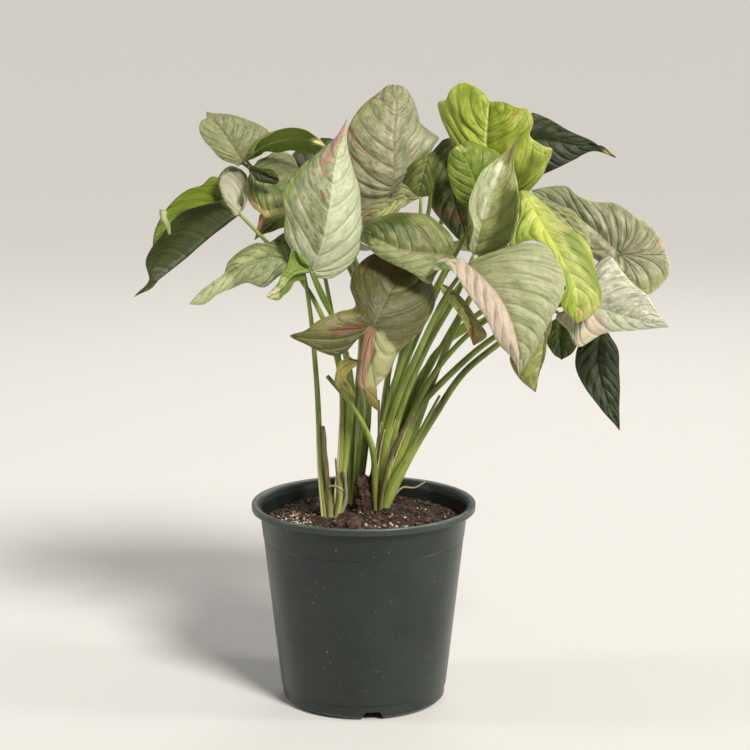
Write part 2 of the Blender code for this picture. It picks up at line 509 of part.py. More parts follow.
def blade_surface(keys):
    """Middle surface of a blade: points, triangles and the closed line of border points."""
    points = []
    index = {}

    def put(point):
        key = tuple(np.round(point, 3))
        if key not in index:
            index[key] = len(points)
            points.append(np.asarray(point, float))
        return index[key]

    rib = spline(keys["rib"], 121)
    edges = [spline(list(keys[name]) + [keys["rib"][-1]], keys["rows"] + 1)[:-1] for name in ("left", "right")]
    share = (rib_share(edges[0], rib) + rib_share(edges[1], rib)) / 2
    share[0] = 0.0
    root = rib[np.round(share * 120).astype(int)]
    ripple = keys["wave"] * np.sin(np.arange(keys["rows"]) * 1.9 + len(keys["left"]))[:, None]
    triangles = []
    borders = []
    tip = put(rib[-1])
    base = put(rib[0])
    for side, edge, bulge in zip((1, -1), edges, keys["bulge"]):
        rows = half_blade(edge, root, side, bulge, ripple)
        grid = [[put(root[j])] + [put(p) for p in rows[j]] for j in range(keys["rows"])]
        grid.append([tip] * (BLADE_STEPS + 1))
        for low, high in zip(grid, grid[1:]):
            for k in range(BLADE_STEPS):
                for corner in ((low[k], low[k + 1], high[k + 1]), (low[k], high[k + 1], high[k])):
                    if len(set(corner)) == 3:
                        triangles.append(corner if side < 0 else corner[::-1])
        borders.append(grid[0] + [row[-1] for row in grid[1:]])
    rim = borders[1] + borders[0][1:-1][::-1]
    return np.array(points), triangles, rim, base


def blade_solid(name, keys, paint):
    """Closed blade: the middle surface moved half a thickness each way, and its border."""
    points, triangles, rim, base = blade_surface(keys)
    corners = points[np.array(triangles)]
    facing = np.cross(corners[:, 1] - corners[:, 0], corners[:, 2] - corners[:, 0])
    normal = np.zeros_like(points)
    for k in range(3):
        np.add.at(normal, np.array(triangles)[:, k], facing)
    normal /= np.linalg.norm(normal, axis=1)[:, None] + 1e-12
    half = BLADE_THICKNESS / 2
    count = len(points)
    both = np.vstack([points + half * normal, points - half * normal])
    faces = [tuple(t) for t in triangles]
    faces += [(a + count, c + count, b + count) for a, b, c in triangles]
    for a, b in zip(rim, rim[1:] + rim[:1]):
        faces.append((a, a + count, b + count))
        faces.append((a, b + count, b))
    mesh_object(name, both, faces, paint)
    return points[base], normal[base]


def tube(name, path, radii, sides, paint):
    """Closed tube along a path, with a radius at each point and flat ends."""
    path = np.asarray(path, float)
    along = np.gradient(path, axis=0)
    along /= np.linalg.norm(along, axis=1)[:, None]
    across = np.cross(along[0], (0.0, 1.0, 0.0))
    points = []
    for centre, ahead, radius in zip(path, along, radii):
        across = across - ahead * across.dot(ahead)
        across /= np.linalg.norm(across)
        other = np.cross(ahead, across)
        for k in range(sides):
            turn = math.tau * k / sides
            points.append(centre + radius * (math.cos(turn) * across + math.sin(turn) * other))
    faces = []
    for j in range(len(path) - 1):
        for k in range(sides):
            a = j * sides + k
            b = j * sides + (k + 1) % sides
            faces.append((a, b, b + sides, a + sides))
    faces.append(tuple(range(sides))[::-1])
    faces.append(tuple(range((len(path) - 1) * sides, len(path) * sides)))
    return mesh_object(name, points, faces, paint)


def make_pot():
    """Injection-moulded pot: tapered wall, collar, rim, foot ring with notches, drained floor."""
    paint = material("pot_plastic", (0.042, 0.055, 0.044), 0.45)
    slope = (COLLAR_RADIUS - BASE_BODY_RADIUS) / (COLLAR_HEIGHT - FOOT_HEIGHT)
    under_rim = COLLAR_RADIUS + COLLAR_STEP + slope * (POT_HEIGHT - RIM_BAND - COLLAR_HEIGHT)
    foot_inside = FOOT_RADIUS - FOOT_RING
    profile = [
        (FOOT_RADIUS, 0.0),
        (FOOT_RADIUS + FOOT_FLARE, FOOT_FLARE_HEIGHT),
        (BASE_BODY_RADIUS - FOOT_EASE, FOOT_HEIGHT - EASE),
        (BASE_BODY_RADIUS, FOOT_HEIGHT + EASE),
        (COLLAR_RADIUS, COLLAR_HEIGHT - EASE),
        (COLLAR_RADIUS + COLLAR_STEP, COLLAR_HEIGHT + EASE),
        (under_rim, POT_HEIGHT - RIM_BAND),
        (RIM_RADIUS - EASE, POT_HEIGHT - RIM_BAND),
        (RIM_RADIUS, POT_HEIGHT - RIM_BAND + EASE),
        (RIM_RADIUS, POT_HEIGHT - RIM_EASE),
        (RIM_RADIUS - RIM_EASE, POT_HEIGHT),
        (RIM_RADIUS - RIM_LIP, POT_HEIGHT - RIM_EASE),
        (under_rim - WALL + RIM_FUNNEL, POT_HEIGHT - 2 * RIM_FUNNEL),
        (under_rim - WALL, POT_HEIGHT - RIM_BAND - RIM_FUNNEL),
        (BASE_BODY_RADIUS - WALL + FLOOR_EASE, FLOOR_TOP + FOOT_RING),
        (BASE_BODY_RADIUS - WALL - FLOOR_FILLET, FLOOR_TOP),
        (PAD_RADIUS - PAD_EDGE - PAD_WALL, FLOOR_TOP),
        (PAD_RADIUS - PAD_EDGE - WALL, PAD_FLOOR),
        (0.0, PAD_FLOOR),
        (0.0, 0.0),
        (PAD_RADIUS - PAD_EDGE, 0.0),
        (PAD_RADIUS + PAD_EDGE, FLOOR_UNDER),
        (foot_inside - RIM_EASE, FLOOR_UNDER),
        (foot_inside, 0.0),
    ]
    pot = turned("pot", profile, POT_SEGMENTS, paint)
    cutters = [foot_notch(k) for k in range(4)] + [drain_hole(k) for k in range(DRAIN_HOLES)]
    apply_boolean(pot, gather("pot_cutters", cutters), "DIFFERENCE")
    return pot


def foot_notch(number):
    """Wedge that cuts one drainage notch out of the foot ring, wider at the bottom."""
    turn = NOTCH_TURN + number * math.pi / 2
    outline = [(-NOTCH_WIDTH / 2, -1.0), (NOTCH_WIDTH / 2, -1.0),
               (NOTCH_WIDTH / 2 - NOTCH_TAPER, NOTCH_HEIGHT), (NOTCH_TAPER - NOTCH_WIDTH / 2, NOTCH_HEIGHT)]
    points = []
    for reach in (FOOT_RADIUS - NOTCH_REACH, FOOT_RADIUS + NOTCH_REACH):
        for across, height in outline:
            points.append((reach * math.cos(turn) - across * math.sin(turn),
                           reach * math.sin(turn) + across * math.cos(turn), height))
    faces = [(3, 2, 1, 0), (4, 5, 6, 7), (0, 1, 5, 4), (1, 2, 6, 5), (2, 3, 7, 6), (3, 0, 4, 7)]
    return mesh_object("notch_cutter", points, faces, None, smooth=False)


def round_cutter(x, y, radius, low, high, sides=16):
    """Upright round cutter."""
    path = [(x, y, low), (x, y, high)]
    return tube("round_cutter", path, (radius, radius), sides, None)


def drain_hole(number):
    """Round hole through the raised floor."""
    turn = math.tau * (number + 0.5) / DRAIN_HOLES
    x = DRAIN_CIRCLE * math.cos(turn)
    y = DRAIN_CIRCLE * math.sin(turn)
    return round_cutter(x, y, DRAIN_RADIUS, FLOOR_UNDER - DRAIN_REACH, FLOOR_TOP + DRAIN_REACH)


def soil_lift(radius, height, turn):
    """Height of the loose soil over its level, millimetres; only the top face is lumpy."""
    if height < SOIL_LEVEL - SOIL_EDGE_DROP / 2:
        return 0.0
    mound = SOIL_MOUND * math.cos(radius / SOIL_MOUND_REACH)
    lumps = math.sin(radius * 0.31 + 3 * turn) + math.sin(radius * 0.17 - 5 * turn + 1.3)
    return mound + SOIL_LUMP * lumps


def make_soil():
    """Soil body that fills the pot, lumpy on top, with a plain hole for each stem."""
    paint = material("potting_soil", (0.045, 0.022, 0.014), 0.95)
    slope = (COLLAR_RADIUS - BASE_BODY_RADIUS) / (COLLAR_HEIGHT - FOOT_HEIGHT)
    wall = COLLAR_RADIUS + slope * (SOIL_LEVEL - COLLAR_HEIGHT) - WALL - SOIL_GAP
    low = BASE_BODY_RADIUS - WALL - SOIL_FOOT_IN
    profile = [(0.0, PAD_FLOOR + SOIL_GAP), (PAD_RADIUS - SOIL_PEG_FOOT, PAD_FLOOR + SOIL_GAP),
               (PAD_RADIUS - SOIL_PEG_TOP, FLOOR_TOP + SOIL_GAP), (low, FLOOR_TOP + SOIL_GAP),
               (BASE_BODY_RADIUS - WALL - SOIL_GAP, FLOOR_TOP + SOIL_FOOT_RISE),
               (wall, SOIL_LEVEL - SOIL_EDGE_DROP)]
    for radius in SOIL_RINGS:
        profile.append((radius, SOIL_LEVEL))
    profile.append((0.0, SOIL_LEVEL + SOIL_MOUND))
    return turned("soil", profile, SOIL_SEGMENTS, paint, soil_lift)


def cut_soil(soil_body):
    """Plain round holes in which the stems and the old stump stand."""
    cutters = []
    for x, y, radius in CROWNS.values():
        cutters.append(round_cutter(x, y, radius + SOIL_GAP, SOIL_LEVEL - PLUG_DEPTH - SOIL_GAP,
                                    SOIL_LEVEL + HOLE_ABOVE))
    cutters.append(round_cutter(*STUMP_AT, STUMP_RADIUS + SOIL_GAP,
                                SOIL_LEVEL - PLUG_DEPTH - SOIL_GAP, SOIL_LEVEL + HOLE_ABOVE))
    apply_boolean(soil_body, gather("soil_cutters", cutters), "DIFFERENCE")


def make_stump():
    """Old brown stem cut off between the crowns, ringed and uneven."""
    paint = material("old_stem", (0.030, 0.015, 0.008), 0.9)
    rng = random.Random(11)
    path = []
    for rise, _ in STUMP_RINGS:
        sway = 0.0 if rise < STUMP_STRAIGHT else STUMP_SWAY
        path.append((STUMP_AT[0] + rng.uniform(-sway, sway), STUMP_AT[1] + rng.uniform(-sway, sway),
                     SOIL_LEVEL + rise))
    radii = [STUMP_RADIUS * size for _, size in STUMP_RINGS]
    return tube("old_stump", path, radii, STUMP_SIDES, paint)


def crown_start(crown, radius, towards):
    """Point inside a crown's plug, on the side that a stalk or stub leans to."""
    x, y, plug = CROWNS[crown]
    lean = np.array(towards[:2], float) - (x, y)
    lean *= min(1.0, (plug - radius - 1.5) / (np.linalg.norm(lean) + 1e-9))
    return (x + lean[0], y + lean[1], SOIL_LEVEL + 1.0)


def stalk_end(base, normal, last_key):
    """End of a stalk just short of its blade, on the side that it comes from."""
    reach = np.array(last_key, float) - base
    reach /= np.linalg.norm(reach)
    side = 1 if reach.dot(normal) > 0 else -1
    return base + side * normal * (BLADE_THICKNESS / 2 + GAP + STALK_TIP_RADIUS) + reach * STALK_SETBACK


def stalk_tube(crown, radius, sheath, keys, blade_base, paint):
    """One leaf stalk from inside its crown's plug to just under its blade."""
    end = stalk_end(*blade_base, keys[-1])
    path = spline([crown_start(crown, radius + sheath, keys[0])] + list(keys) + [end], STALK_STATIONS)
    share = np.linspace(0.0, 1.0, STALK_STATIONS)
    radii = STALK_TIP_RADIUS + (radius - STALK_TIP_RADIUS) * (1.0 - share) ** 0.6
    radii += sheath * np.clip(1.0 - share / SHEATH_SHARE, 0.0, 1.0)
    return tube("stalk", path, radii, STALK_SIDES, paint)


def stub_tube(crown, keys, first, last, paint):
    """One cut stub, dry sheath or root."""
    path = spline([crown_start(crown, first, keys[0])] + list(keys), len(keys) + 2)
    return tube("stub", path, np.linspace(first, last, len(path)), STALK_SIDES, paint)


def make_crowns(bases):
    """Each crown: the round stem base in its hole, joined with all the stalks that it bears."""
    paint = material("stalk_green", (0.18, 0.30, 0.045), 0.5)
    for crown, (x, y, radius) in CROWNS.items():
        path = [(x, y, SOIL_LEVEL - PLUG_DEPTH), (x, y, SOIL_LEVEL + 3.0), (x, y, SOIL_LEVEL + 7.0)]
        body = tube(crown, path, (radius, radius, radius * 0.8), 16, paint)
        stalks = [stalk_tube(crown, size, sheath, keys, bases[name], paint)
                  for name, (grown_from, size, sheath, keys) in STALKS.items() if grown_from == crown]
        stalks += [stub_tube(crown, keys, first, last, paint)
                   for grown_from, first, last, keys in STUBS if grown_from == crown]
        apply_boolean(body, gather(crown + "_stalks", stalks), "UNION", "MANIFOLD")


def arrowhead(base, tip, width):
    """Key points of a plain arrowhead blade that arches from its base down to its tip."""
    base = np.array(base, float)
    ahead = np.array(tip, float) - base
    length = np.linalg.norm(ahead)
    ahead /= length
    left = np.cross((0.0, 0.0, 1.0), ahead)
    left /= np.linalg.norm(left)
    up = np.cross(ahead, left)

    def place(along, across):
        rise = ARROW_ARCH * length * 4 * along * (1 - along) - ARROW_DROOP * width * across ** 2
        return base + ahead * length * along + left * width * across + up * rise

    return {
        "rib": [place(0.0, 0.0), place(0.35, 0.0), place(0.7, 0.0), place(1.0, 0.0)],
        "left": [place(along, across) for along, across in ARROWHEAD],
        "right": [place(along, -across) for along, across in ARROWHEAD],
        "bulge": (0.06, 0.06), "wave": 1.2, "rows": ARROW_ROWS, "colour": "sage"}


def add_far_leaves():
    """Put the far side's blades and stalks beside the ones given point by point."""
    for name, (crown, base, tip, width) in FAR_LEAVES.items():
        BLADES[name] = arrowhead(base, tip, width)
        x, y, _ = CROWNS[crown]
        near, deep = FAR_STALK_LOW_REACH
        low = (x + near * (base[0] - x), y + deep * (base[1] - y), FAR_STALK_LOW)
        high = (x + FAR_STALK_HIGH_REACH * (base[0] - x), y + FAR_STALK_HIGH_REACH * (base[1] - y),
                base[2] - FAR_STALK_DROP)
        STALKS[name] = (crown, FAR_STALK_RADIUS, FAR_STALK_SHEATH, [low, high])


def make_blades():
    """Every leaf blade; returns the point and normal at each blade's base."""
    bases = {}
    for name, keys in BLADES.items():
        paint = material(name + "_leaf", LEAF_COLOURS[keys["colour"]], 0.5)
        bases[name] = blade_solid(name, keys, paint)
    return bases


def main():
    clear_scene()
    make_pot()
    cut_soil(make_soil())
    make_stump()
    add_far_leaves()
    make_crowns(make_blades())


main()
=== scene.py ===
# %% [markdown]
# # A potted variegated syngonium
# The plant is a dozen and a half large arrowhead leaves and as many small ones, each on a long stalk
# that rises from one of three crowns in a nursery pot.  The frame that is loaded first holds the plain
# solids.  This lesson dresses them: every leaf gets its curves, veins and blotches, the stalks their
# sheaths, the pot its moulded rim, and the soil its crumbs.

# %% Load the frame
import json
import math
import bmesh
import bpy
import numpy as np
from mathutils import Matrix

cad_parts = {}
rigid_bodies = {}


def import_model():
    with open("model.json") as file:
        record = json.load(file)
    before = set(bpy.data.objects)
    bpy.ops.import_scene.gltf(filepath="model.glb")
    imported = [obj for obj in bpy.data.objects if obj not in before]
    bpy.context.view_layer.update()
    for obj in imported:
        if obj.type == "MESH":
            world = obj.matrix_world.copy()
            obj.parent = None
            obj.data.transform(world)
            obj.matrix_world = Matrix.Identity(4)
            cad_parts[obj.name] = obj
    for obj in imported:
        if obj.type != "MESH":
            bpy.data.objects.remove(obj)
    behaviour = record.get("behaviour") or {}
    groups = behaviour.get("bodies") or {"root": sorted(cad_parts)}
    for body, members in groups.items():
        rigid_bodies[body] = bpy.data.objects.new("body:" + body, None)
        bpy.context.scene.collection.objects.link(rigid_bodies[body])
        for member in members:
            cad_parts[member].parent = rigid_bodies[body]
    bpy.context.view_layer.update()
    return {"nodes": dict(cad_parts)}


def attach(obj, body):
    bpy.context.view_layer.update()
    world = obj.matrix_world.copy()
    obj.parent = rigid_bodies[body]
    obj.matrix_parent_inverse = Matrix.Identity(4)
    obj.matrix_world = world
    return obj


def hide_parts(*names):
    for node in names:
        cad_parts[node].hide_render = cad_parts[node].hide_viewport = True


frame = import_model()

MM = 0.001

# %% [markdown]
# ## Camera
# The photograph looks slightly down on the plant from about a metre and a half away.  A long lens
# keeps the pot's walls nearly parallel.  The lens is given in millimetres for a square picture of
# 750 by 750 points on a sensor 36 mm wide.

# %% Camera at the photograph's viewing angle
EYE = (0.0081, -1.52859, 0.52696)
LOOK_DOWN = math.radians(10.77)
LENS = 105.6


def add_camera():
    """Camera at EYE that looks along +Y, turned down by LOOK_DOWN."""
    lens = bpy.data.cameras.new("camera")
    lens.lens = LENS
    lens.sensor_width = 36.0
    lens.clip_end = 200.0
    eye = bpy.data.objects.new("camera", lens)
    eye.location = EYE
    eye.rotation_euler = (math.pi / 2 - LOOK_DOWN, 0.0, 0.0)
    bpy.context.scene.collection.objects.link(eye)
    bpy.context.scene.camera = eye


add_camera()
print("camera", EYE, "lens", LENS)

# %% [markdown]
# ## Floor and light
# The plant stands on a plain pale floor.  A broad sun from the upper right in front gives the same
# soft main light on the whole floor, where a nearby lamp would fade with distance.  Two tall soft
# boxes beside the plant draw the long highlights on the pot, and a lamp behind lets thin leaves glow.

# %% Floor and studio light
KEY_STRENGTH = 4.1
KEY_SOFTNESS = math.radians(16.0)
SIDE_POWER = 13.0
BACK_POWER = 7.0
SKY_LEVEL = 0.18


def add_lamp(name, kind, place, target, power, colour, **settings):
    """Lamp of a kind that points from its place to a target; settings give its size or angle."""
    lamp = bpy.data.lights.new(name, kind)
    lamp.energy = power
    lamp.color = colour
    for key, value in settings.items():
        setattr(lamp, key, value)
    body = bpy.data.objects.new(name, lamp)
    body.location = place
    toward = np.array(target) - np.array(place)
    body.rotation_euler = (math.atan2(np.hypot(toward[0], toward[1]), -toward[2]), 0.0,
                           math.atan2(toward[1], toward[0]) - math.pi / 2)
    body.visible_camera = False
    bpy.context.scene.collection.objects.link(body)


def add_floor():
    """Plain pale floor, 80 m wide, in the plane that the pot stands on."""
    half = 40.0
    mesh = bpy.data.meshes.new("floor")
    mesh.from_pydata([(-half, -half, 0), (half, -half, 0), (half, half, 0), (-half, half, 0)], [], [(0, 1, 2, 3)])
    floor = bpy.data.objects.new("floor", mesh)
    bpy.context.scene.collection.objects.link(floor)
    paint = bpy.data.materials.new("floor")
    paint.use_nodes = True
    shader = paint.node_tree.nodes["Principled BSDF"]
    shader.inputs["Base Color"].default_value = (0.68, 0.665, 0.64, 1.0)
    shader.inputs["Roughness"].default_value = 0.8
    mesh.materials.append(paint)


add_floor()
MIDDLE = (0.0, 0.0, 0.28)
TALL = {"shape": "RECTANGLE", "size": 0.28, "size_y": 1.6}
add_lamp("key", "SUN", (0.9, -1.5, 1.7), MIDDLE, KEY_STRENGTH, (1.0, 0.965, 0.90), angle=KEY_SOFTNESS)
add_lamp("left", "AREA", (-1.7, -0.10, 0.80), MIDDLE, SIDE_POWER * 0.75, (1.0, 0.99, 0.97), **TALL)
add_lamp("right", "AREA", (1.6, -0.30, 0.80), MIDDLE, SIDE_POWER, (1.0, 0.98, 0.95), **TALL)
add_lamp("back", "AREA", (0.3, 1.5, 1.4), MIDDLE, BACK_POWER, (1.0, 0.98, 0.94), size=1.0)
sky = bpy.data.worlds.new("sky")
sky.use_nodes = True
sky.node_tree.nodes["Background"].inputs["Color"].default_value = (1.0, 0.99, 0.97, 1.0)
sky.node_tree.nodes["Background"].inputs["Strength"].default_value = SKY_LEVEL
bpy.context.scene.world = sky
bpy.context.scene.view_settings.view_transform = "Standard"

# %% [markdown]
# ## Key points of the plant
# A leaf could be sculpted, or cut from a flat outline and bent.  Here each leaf is a loft: a midrib
# curve and two edge curves through a few key points, in millimetres, in the same places as in the
# solids.  The stalks, stubs and roots are curves through key points too.

# %% Key points of blades, stalks and stubs
BLADES = {
    "blade_far_left": {
        "rib": [(-86, -12, 352), (-104, -18, 339), (-124, -24, 322), (-141, -30, 309), (-157, -36, 298)],
        "left": [(-83, -14, 365), (-81, -10, 379), (-91, -8, 385), (-100, -14, 378), (-97, -26, 363),
            (-108, -36, 362), (-124, -42, 356), (-134, -43, 345), (-144, -41, 332), (-148, -39, 322),
            (-146, -38, 310)],
        "right": [(-91, -6, 364), (-98, 2, 374), (-106, 4, 376), (-112, 2, 371), (-121, 2, 368),
            (-131, 0, 361), (-140, -4, 351), (-145, -8, 339), (-146, -12, 324), (-141, -20, 310),
            (-144, -30, 304)],
        "bulge": (0.16, 0.10), "wave": 0.6, "rows": 14},
    "blade_upper_left": {
        "rib": [(-84, 8, 385), (-94, 14, 400), (-103, 19, 412), (-110, 23, 420)],
        "left": [(-87, 6, 383), (-96, 6, 387), (-105, 8, 394), (-112, 12, 402), (-115, 15, 409),
            (-114, 17, 413), (-110, 20, 416)],
        "right": [(-76, 6, 388), (-67, 10, 397), (-65, 16, 405), (-73, 20, 411), (-85, 22, 416),
            (-97, 23, 418), (-104, 23, 419)],
        "bulge": (0.08, 0.10), "wave": 1.0, "rows": 9},
    "blade_arched": {
        "rib": [(-82, 3, 388), (-70, -6, 398), (-54, -8, 403), (-40, -6, 403), (-26, -2, 398)],
        "left": [(-77, 1, 389), (-68, 5, 393), (-55, 6, 394), (-43, 6, 392), (-33, 4, 393)],
        "right": [(-77, -9, 394), (-69, -17, 404), (-59, -21, 411), (-47, -21, 411), (-38, -17, 410),
            (-33, -9, 405)],
        "bulge": (0.12, 0.12), "wave": 1.0, "rows": 9},
    "blade_left_inner": {
        "rib": [(-79, 0, 383), (-68, 2, 374), (-57, 2, 364), (-46, 1, 352)],
        "left": [(-73, 3, 387), (-62, 20, 392), (-53, 26, 391), (-47, 20, 381), (-42, 10, 366)],
        "right": [(-81, -1, 374), (-81, 0, 364), (-78, 0, 356), (-71, -2, 351), (-68, -3, 348),
            (-59, -3, 349), (-50, -2, 353)],
        "bulge": (0.10, 0.14), "wave": 1.0, "rows": 9},
    "blade_left_behind": {
        "rib": [(-46, 46, 350), (-63, 41, 341), (-78, 36, 328)],
        "left": [(-44, 46, 341), (-57, 44, 336), (-70, 39, 332)],
        "right": [(-51, 46, 353), (-66, 43, 350), (-74, 40, 346), (-76, 37, 337)],
        "bulge": (0.10, 0.10), "wave": 1.0, "rows": 9},
    "blade_front_left": {
        "rib": [(-35, -36, 316), (-27, -45, 337), (-22, -47, 363), (-18, -38, 392), (-11, -24, 418)],
        "left": [(-41, -34, 314), (-46, -36, 324), (-54, -37, 342), (-53, -34, 356), (-55, -31, 368),
            (-49, -28, 380), (-31, -26, 395), (-18, -25, 408)],
        "right": [(-32, -34, 311), (-23, -34, 310), (-12, -33, 316), (-5, -31, 324), (-1, -28, 352),
            (-2, -25, 370), (-7, -23, 383), (-10, -22, 399)],
        "bulge": (0.10, 0.08), "wave": 1.0, "rows": 9},
    "blade_low_left": {
        "rib": [(-42, -25, 319), (-64, -29, 324), (-84, -37, 318), (-100, -45, 310), (-118, -52, 295)],
        "left": [(-46, -26, 316), (-55, -28, 313), (-63, -32, 307), (-69, -36, 304), (-80, -40, 308),
            (-89, -44, 305), (-99, -48, 301), (-108, -51, 295)],
        "right": [(-44, -22, 328), (-53, -20, 340), (-66, -24, 333), (-75, -28, 333), (-84, -32, 329),
            (-93, -40, 320), (-95, -43, 314), (-107, -48, 306)],
        "bulge": (0.10, 0.10), "wave": 1.0, "rows": 9},
    "blade_low_left_curl": {
        "rib": [(-36, -44, 317), (-48, -50, 315), (-56, -55, 306), (-65, -58, 301)],
        "left": [(-41, -47, 323), (-47, -49, 332), (-52, -54, 321), (-60, -58, 308)],
        "right": [(-40, -42, 312), (-49, -48, 306), (-56, -53, 299), (-62, -57, 299)],
        "bulge": (0.20, 0.20), "wave": 1.0, "rows": 9},
    "blade_top_centre": {
        "rib": [(17, 6, 360), (21, 2, 380), (21, 6, 402), (23, 16, 422), (24, 28, 438)],
        "left": [(14, 4, 356), (7, 2, 350), (-1, 2, 346), (-7, 6, 356), (-12, 10, 380), (-10, 18, 410),
            (0, 23, 425), (10, 27, 433), (18, 29, 438)],
        "right": [(21, 4, 357), (27, 4, 360), (34, 6, 368), (42, 8, 385), (48, 10, 394), (53, 10, 403),
            (47, 14, 407), (40, 18, 412), (38, 22, 420), (35, 26, 429), (29, 29, 436)],
        "bulge": (0.08, 0.08), "wave": 1.0, "rows": 9},
    "blade_centre_pale": {
        "rib": [(40, -8, 363), (25, -12, 362), (12, -18, 355), (-2, -20, 347)],
        "left": [(32, -12, 360), (21, -18, 352), (14, -21, 349), (5, -20, 349)],
        "right": [(33, -8, 367), (26, -6, 373), (20, -12, 364), (10, -15, 362), (2, -18, 357)],
        "bulge": (0.14, 0.14), "wave": 1.0, "rows": 9},
    "blade_lime_top": {
        "rib": [(106, 20, 355), (94, 16, 376), (86, 10, 398), (87, 8, 417), (88, 10, 428)],
        "left": [(82, 22, 378), (69, 18, 399), (61, 16, 404), (56, 14, 413), (53, 13, 419),
            (52, 12, 427), (58, 10, 430), (61, 6, 437), (73, 2, 441), (81, 4, 436)],
        "right": [(116, 25, 360), (124, 23, 374), (131, 21, 384), (132, 20, 395), (125, 14, 397),
            (116, 12, 405), (118, 12, 413), (116, 11, 421), (105, 9, 425), (96, 9, 428)],
        "bulge": (0.18, 0.12), "wave": 2.2, "rows": 14},
    "blade_dark_top_right": {
        "rib": [(98, 54, 390), (126, 52, 398), (155, 49, 394), (171, 47, 393), (180, 44, 386)],
        "left": [(101, 54, 409), (112, 54, 416), (121, 54, 417), (130, 53, 414), (148, 51, 404),
            (162, 49, 398)],
        "right": [(105, 54, 372), (123, 52, 371), (135, 50, 376), (151, 49, 384), (163, 48, 390)],
        "bulge": (0.08, 0.10), "wave": 1.0, "rows": 9},
    "blade_lime_inner": {
        "rib": [(82, -6, 357), (77, -11, 374), (70, -13, 391), (65, -10, 399)],
        "left": [(75, -9, 354), (65, -12, 362), (60, -13, 373), (58, -12, 386), (60, -10, 395)],
        "right": [(89, -4, 364), (95, -3, 378), (95, -3, 391), (84, -5, 398), (74, -7, 402)],
        "bulge": (0.14, 0.12), "wave": 1.0, "rows": 9},
    "blade_upright_right": {
        "rib": [(76, -28, 326), (80, -36, 345), (83, -40, 361), (91, -38, 381), (99, -31, 396),
            (106, -27, 406)],
        "left": [(73, -38, 332), (74, -47, 348), (72, -49, 364), (78, -45, 382), (91, -36, 392)],
        "right": [(82, -28, 323), (89, -31, 325), (99, -36, 334), (105, -42, 353), (105, -42, 373),
            (102, -35, 391)],
        "bulge": (-0.08, -0.08), "wave": 1.0, "rows": 9},
    "blade_lime_hanging": {
        "rib": [(110, -10, 368), (122, -22, 348), (136, -34, 324), (146, -40, 302), (147, -40, 280)],
        "left": [(118, -6, 364), (131, -12, 353), (144, -18, 341), (155, -23, 331), (161, -30, 312),
            (163, -34, 293), (155, -38, 283)],
        "right": [(108, -12, 358), (107, -20, 343), (100, -28, 332), (117, -32, 335), (128, -37, 330),
            (135, -42, 320), (138, -44, 308), (135, -44, 294), (141, -42, 285)],
        "bulge": (0.10, 0.10), "wave": 1.0, "rows": 9},
    "blade_olive_behind": {
        "rib": [(124, 6, 359), (141, 2, 346), (151, -3, 329), (157, -6, 311)],
        "left": [(132, 8, 356), (147, 6, 351), (156, 2, 339), (159, -3, 324)],
        "right": [(124, 0, 350), (134, -4, 336), (146, -7, 319)],
        "bulge": (0.10, 0.10), "wave": 1.0, "rows": 9},
    "blade_right": {
        "rib": [(180, 8, 321), (167, 12, 334), (146, 20, 350), (119, 28, 364)],
        "left": [(213, 1, 321), (215, 0, 314), (208, -3, 300), (199, -4, 294), (188, -2, 301),
            (172, 4, 311), (156, 12, 324), (139, 19, 341), (125, 25, 354)],
        "right": [(213, 3, 321), (211, 4, 328), (203, 8, 340), (192, 12, 347), (176, 16, 357),
            (167, 18, 357), (159, 19, 358), (150, 22, 362), (145, 26, 367), (132, 28, 367)],
        "bulge": (0.08, 0.08), "wave": 1.0, "rows": 9},
    "blade_pale_right": {
        "rib": [(154, -14, 289), (173, -19, 284), (195, -23, 278), (212, -25, 275)],
        "left": [(154, -12, 299), (159, -9, 312), (165, -9, 319), (171, -11, 322), (179, -15, 313),
            (187, -17, 304), (197, -20, 296), (204, -23, 284)],
        "right": [(145, -16, 288), (134, -18, 281), (142, -22, 272), (148, -24, 261), (166, -24, 270),
            (188, -24, 272), (202, -25, 274)],
        "bulge": (0.08, 0.10), "wave": 1.0, "rows": 9},
    "blade_dark_low": {
        "rib": [(141, 18, 276), (140, 16, 259), (141, 12, 245)],
        "left": [(148, 18, 271), (153, 15, 259), (149, 13, 250)],
        "right": [(133, 18, 271), (130, 15, 260), (134, 13, 250)],
        "bulge": (0.10, 0.10), "wave": 1.0, "rows": 9},
    "blade_dark_hanging": {
        "rib": [(169, 20, 265), (167, 17, 244), (173, 14, 219), (183, 10, 194)],
        "left": [(176, 22, 262), (181, 20, 253), (183, 17, 235), (183, 14, 215)],
        "right": [(160, 20, 263), (152, 17, 251), (151, 16, 242), (157, 14, 226), (169, 12, 210)],
        "bulge": (0.10, 0.10), "wave": 1.0, "rows": 9},
    "blade_front_right": {
        "rib": [(71, -46, 321), (82, -57, 312), (91, -63, 302), (100, -67, 285), (105, -63, 265),
            (106, -55, 247)],
        "left": [(75, -45, 325), (91, -46, 331), (113, -46, 336), (121, -47, 335), (131, -50, 326),
            (136, -54, 315), (135, -56, 303), (128, -59, 288), (120, -58, 270), (112, -56, 257)],
        "right": [(62, -50, 326), (52, -55, 326), (47, -59, 320), (59, -62, 319), (68, -67, 309),
            (79, -73, 293), (90, -73, 273), (101, -65, 260)],
        "bulge": (0.12, 0.22), "wave": 1.0, "rows": 9},
    "blade_behind_front_right": {
        "rib": [(124, -40, 296), (124, -45, 276), (122, -47, 256), (118, -46, 233)],
        "left": [(129, -38, 292), (129, -41, 281), (126, -44, 267), (121, -46, 248)],
        "right": [(114, -42, 284), (104, -48, 266), (100, -50, 258), (107, -49, 243)],
        "bulge": (0.10, 0.10), "wave": 1.0, "rows": 9},
    "blade_centre": {
        "rib": [(61, -36, 326), (46, -41, 328), (26, -43, 331), (12, -40, 337), (0, -36, 342)],
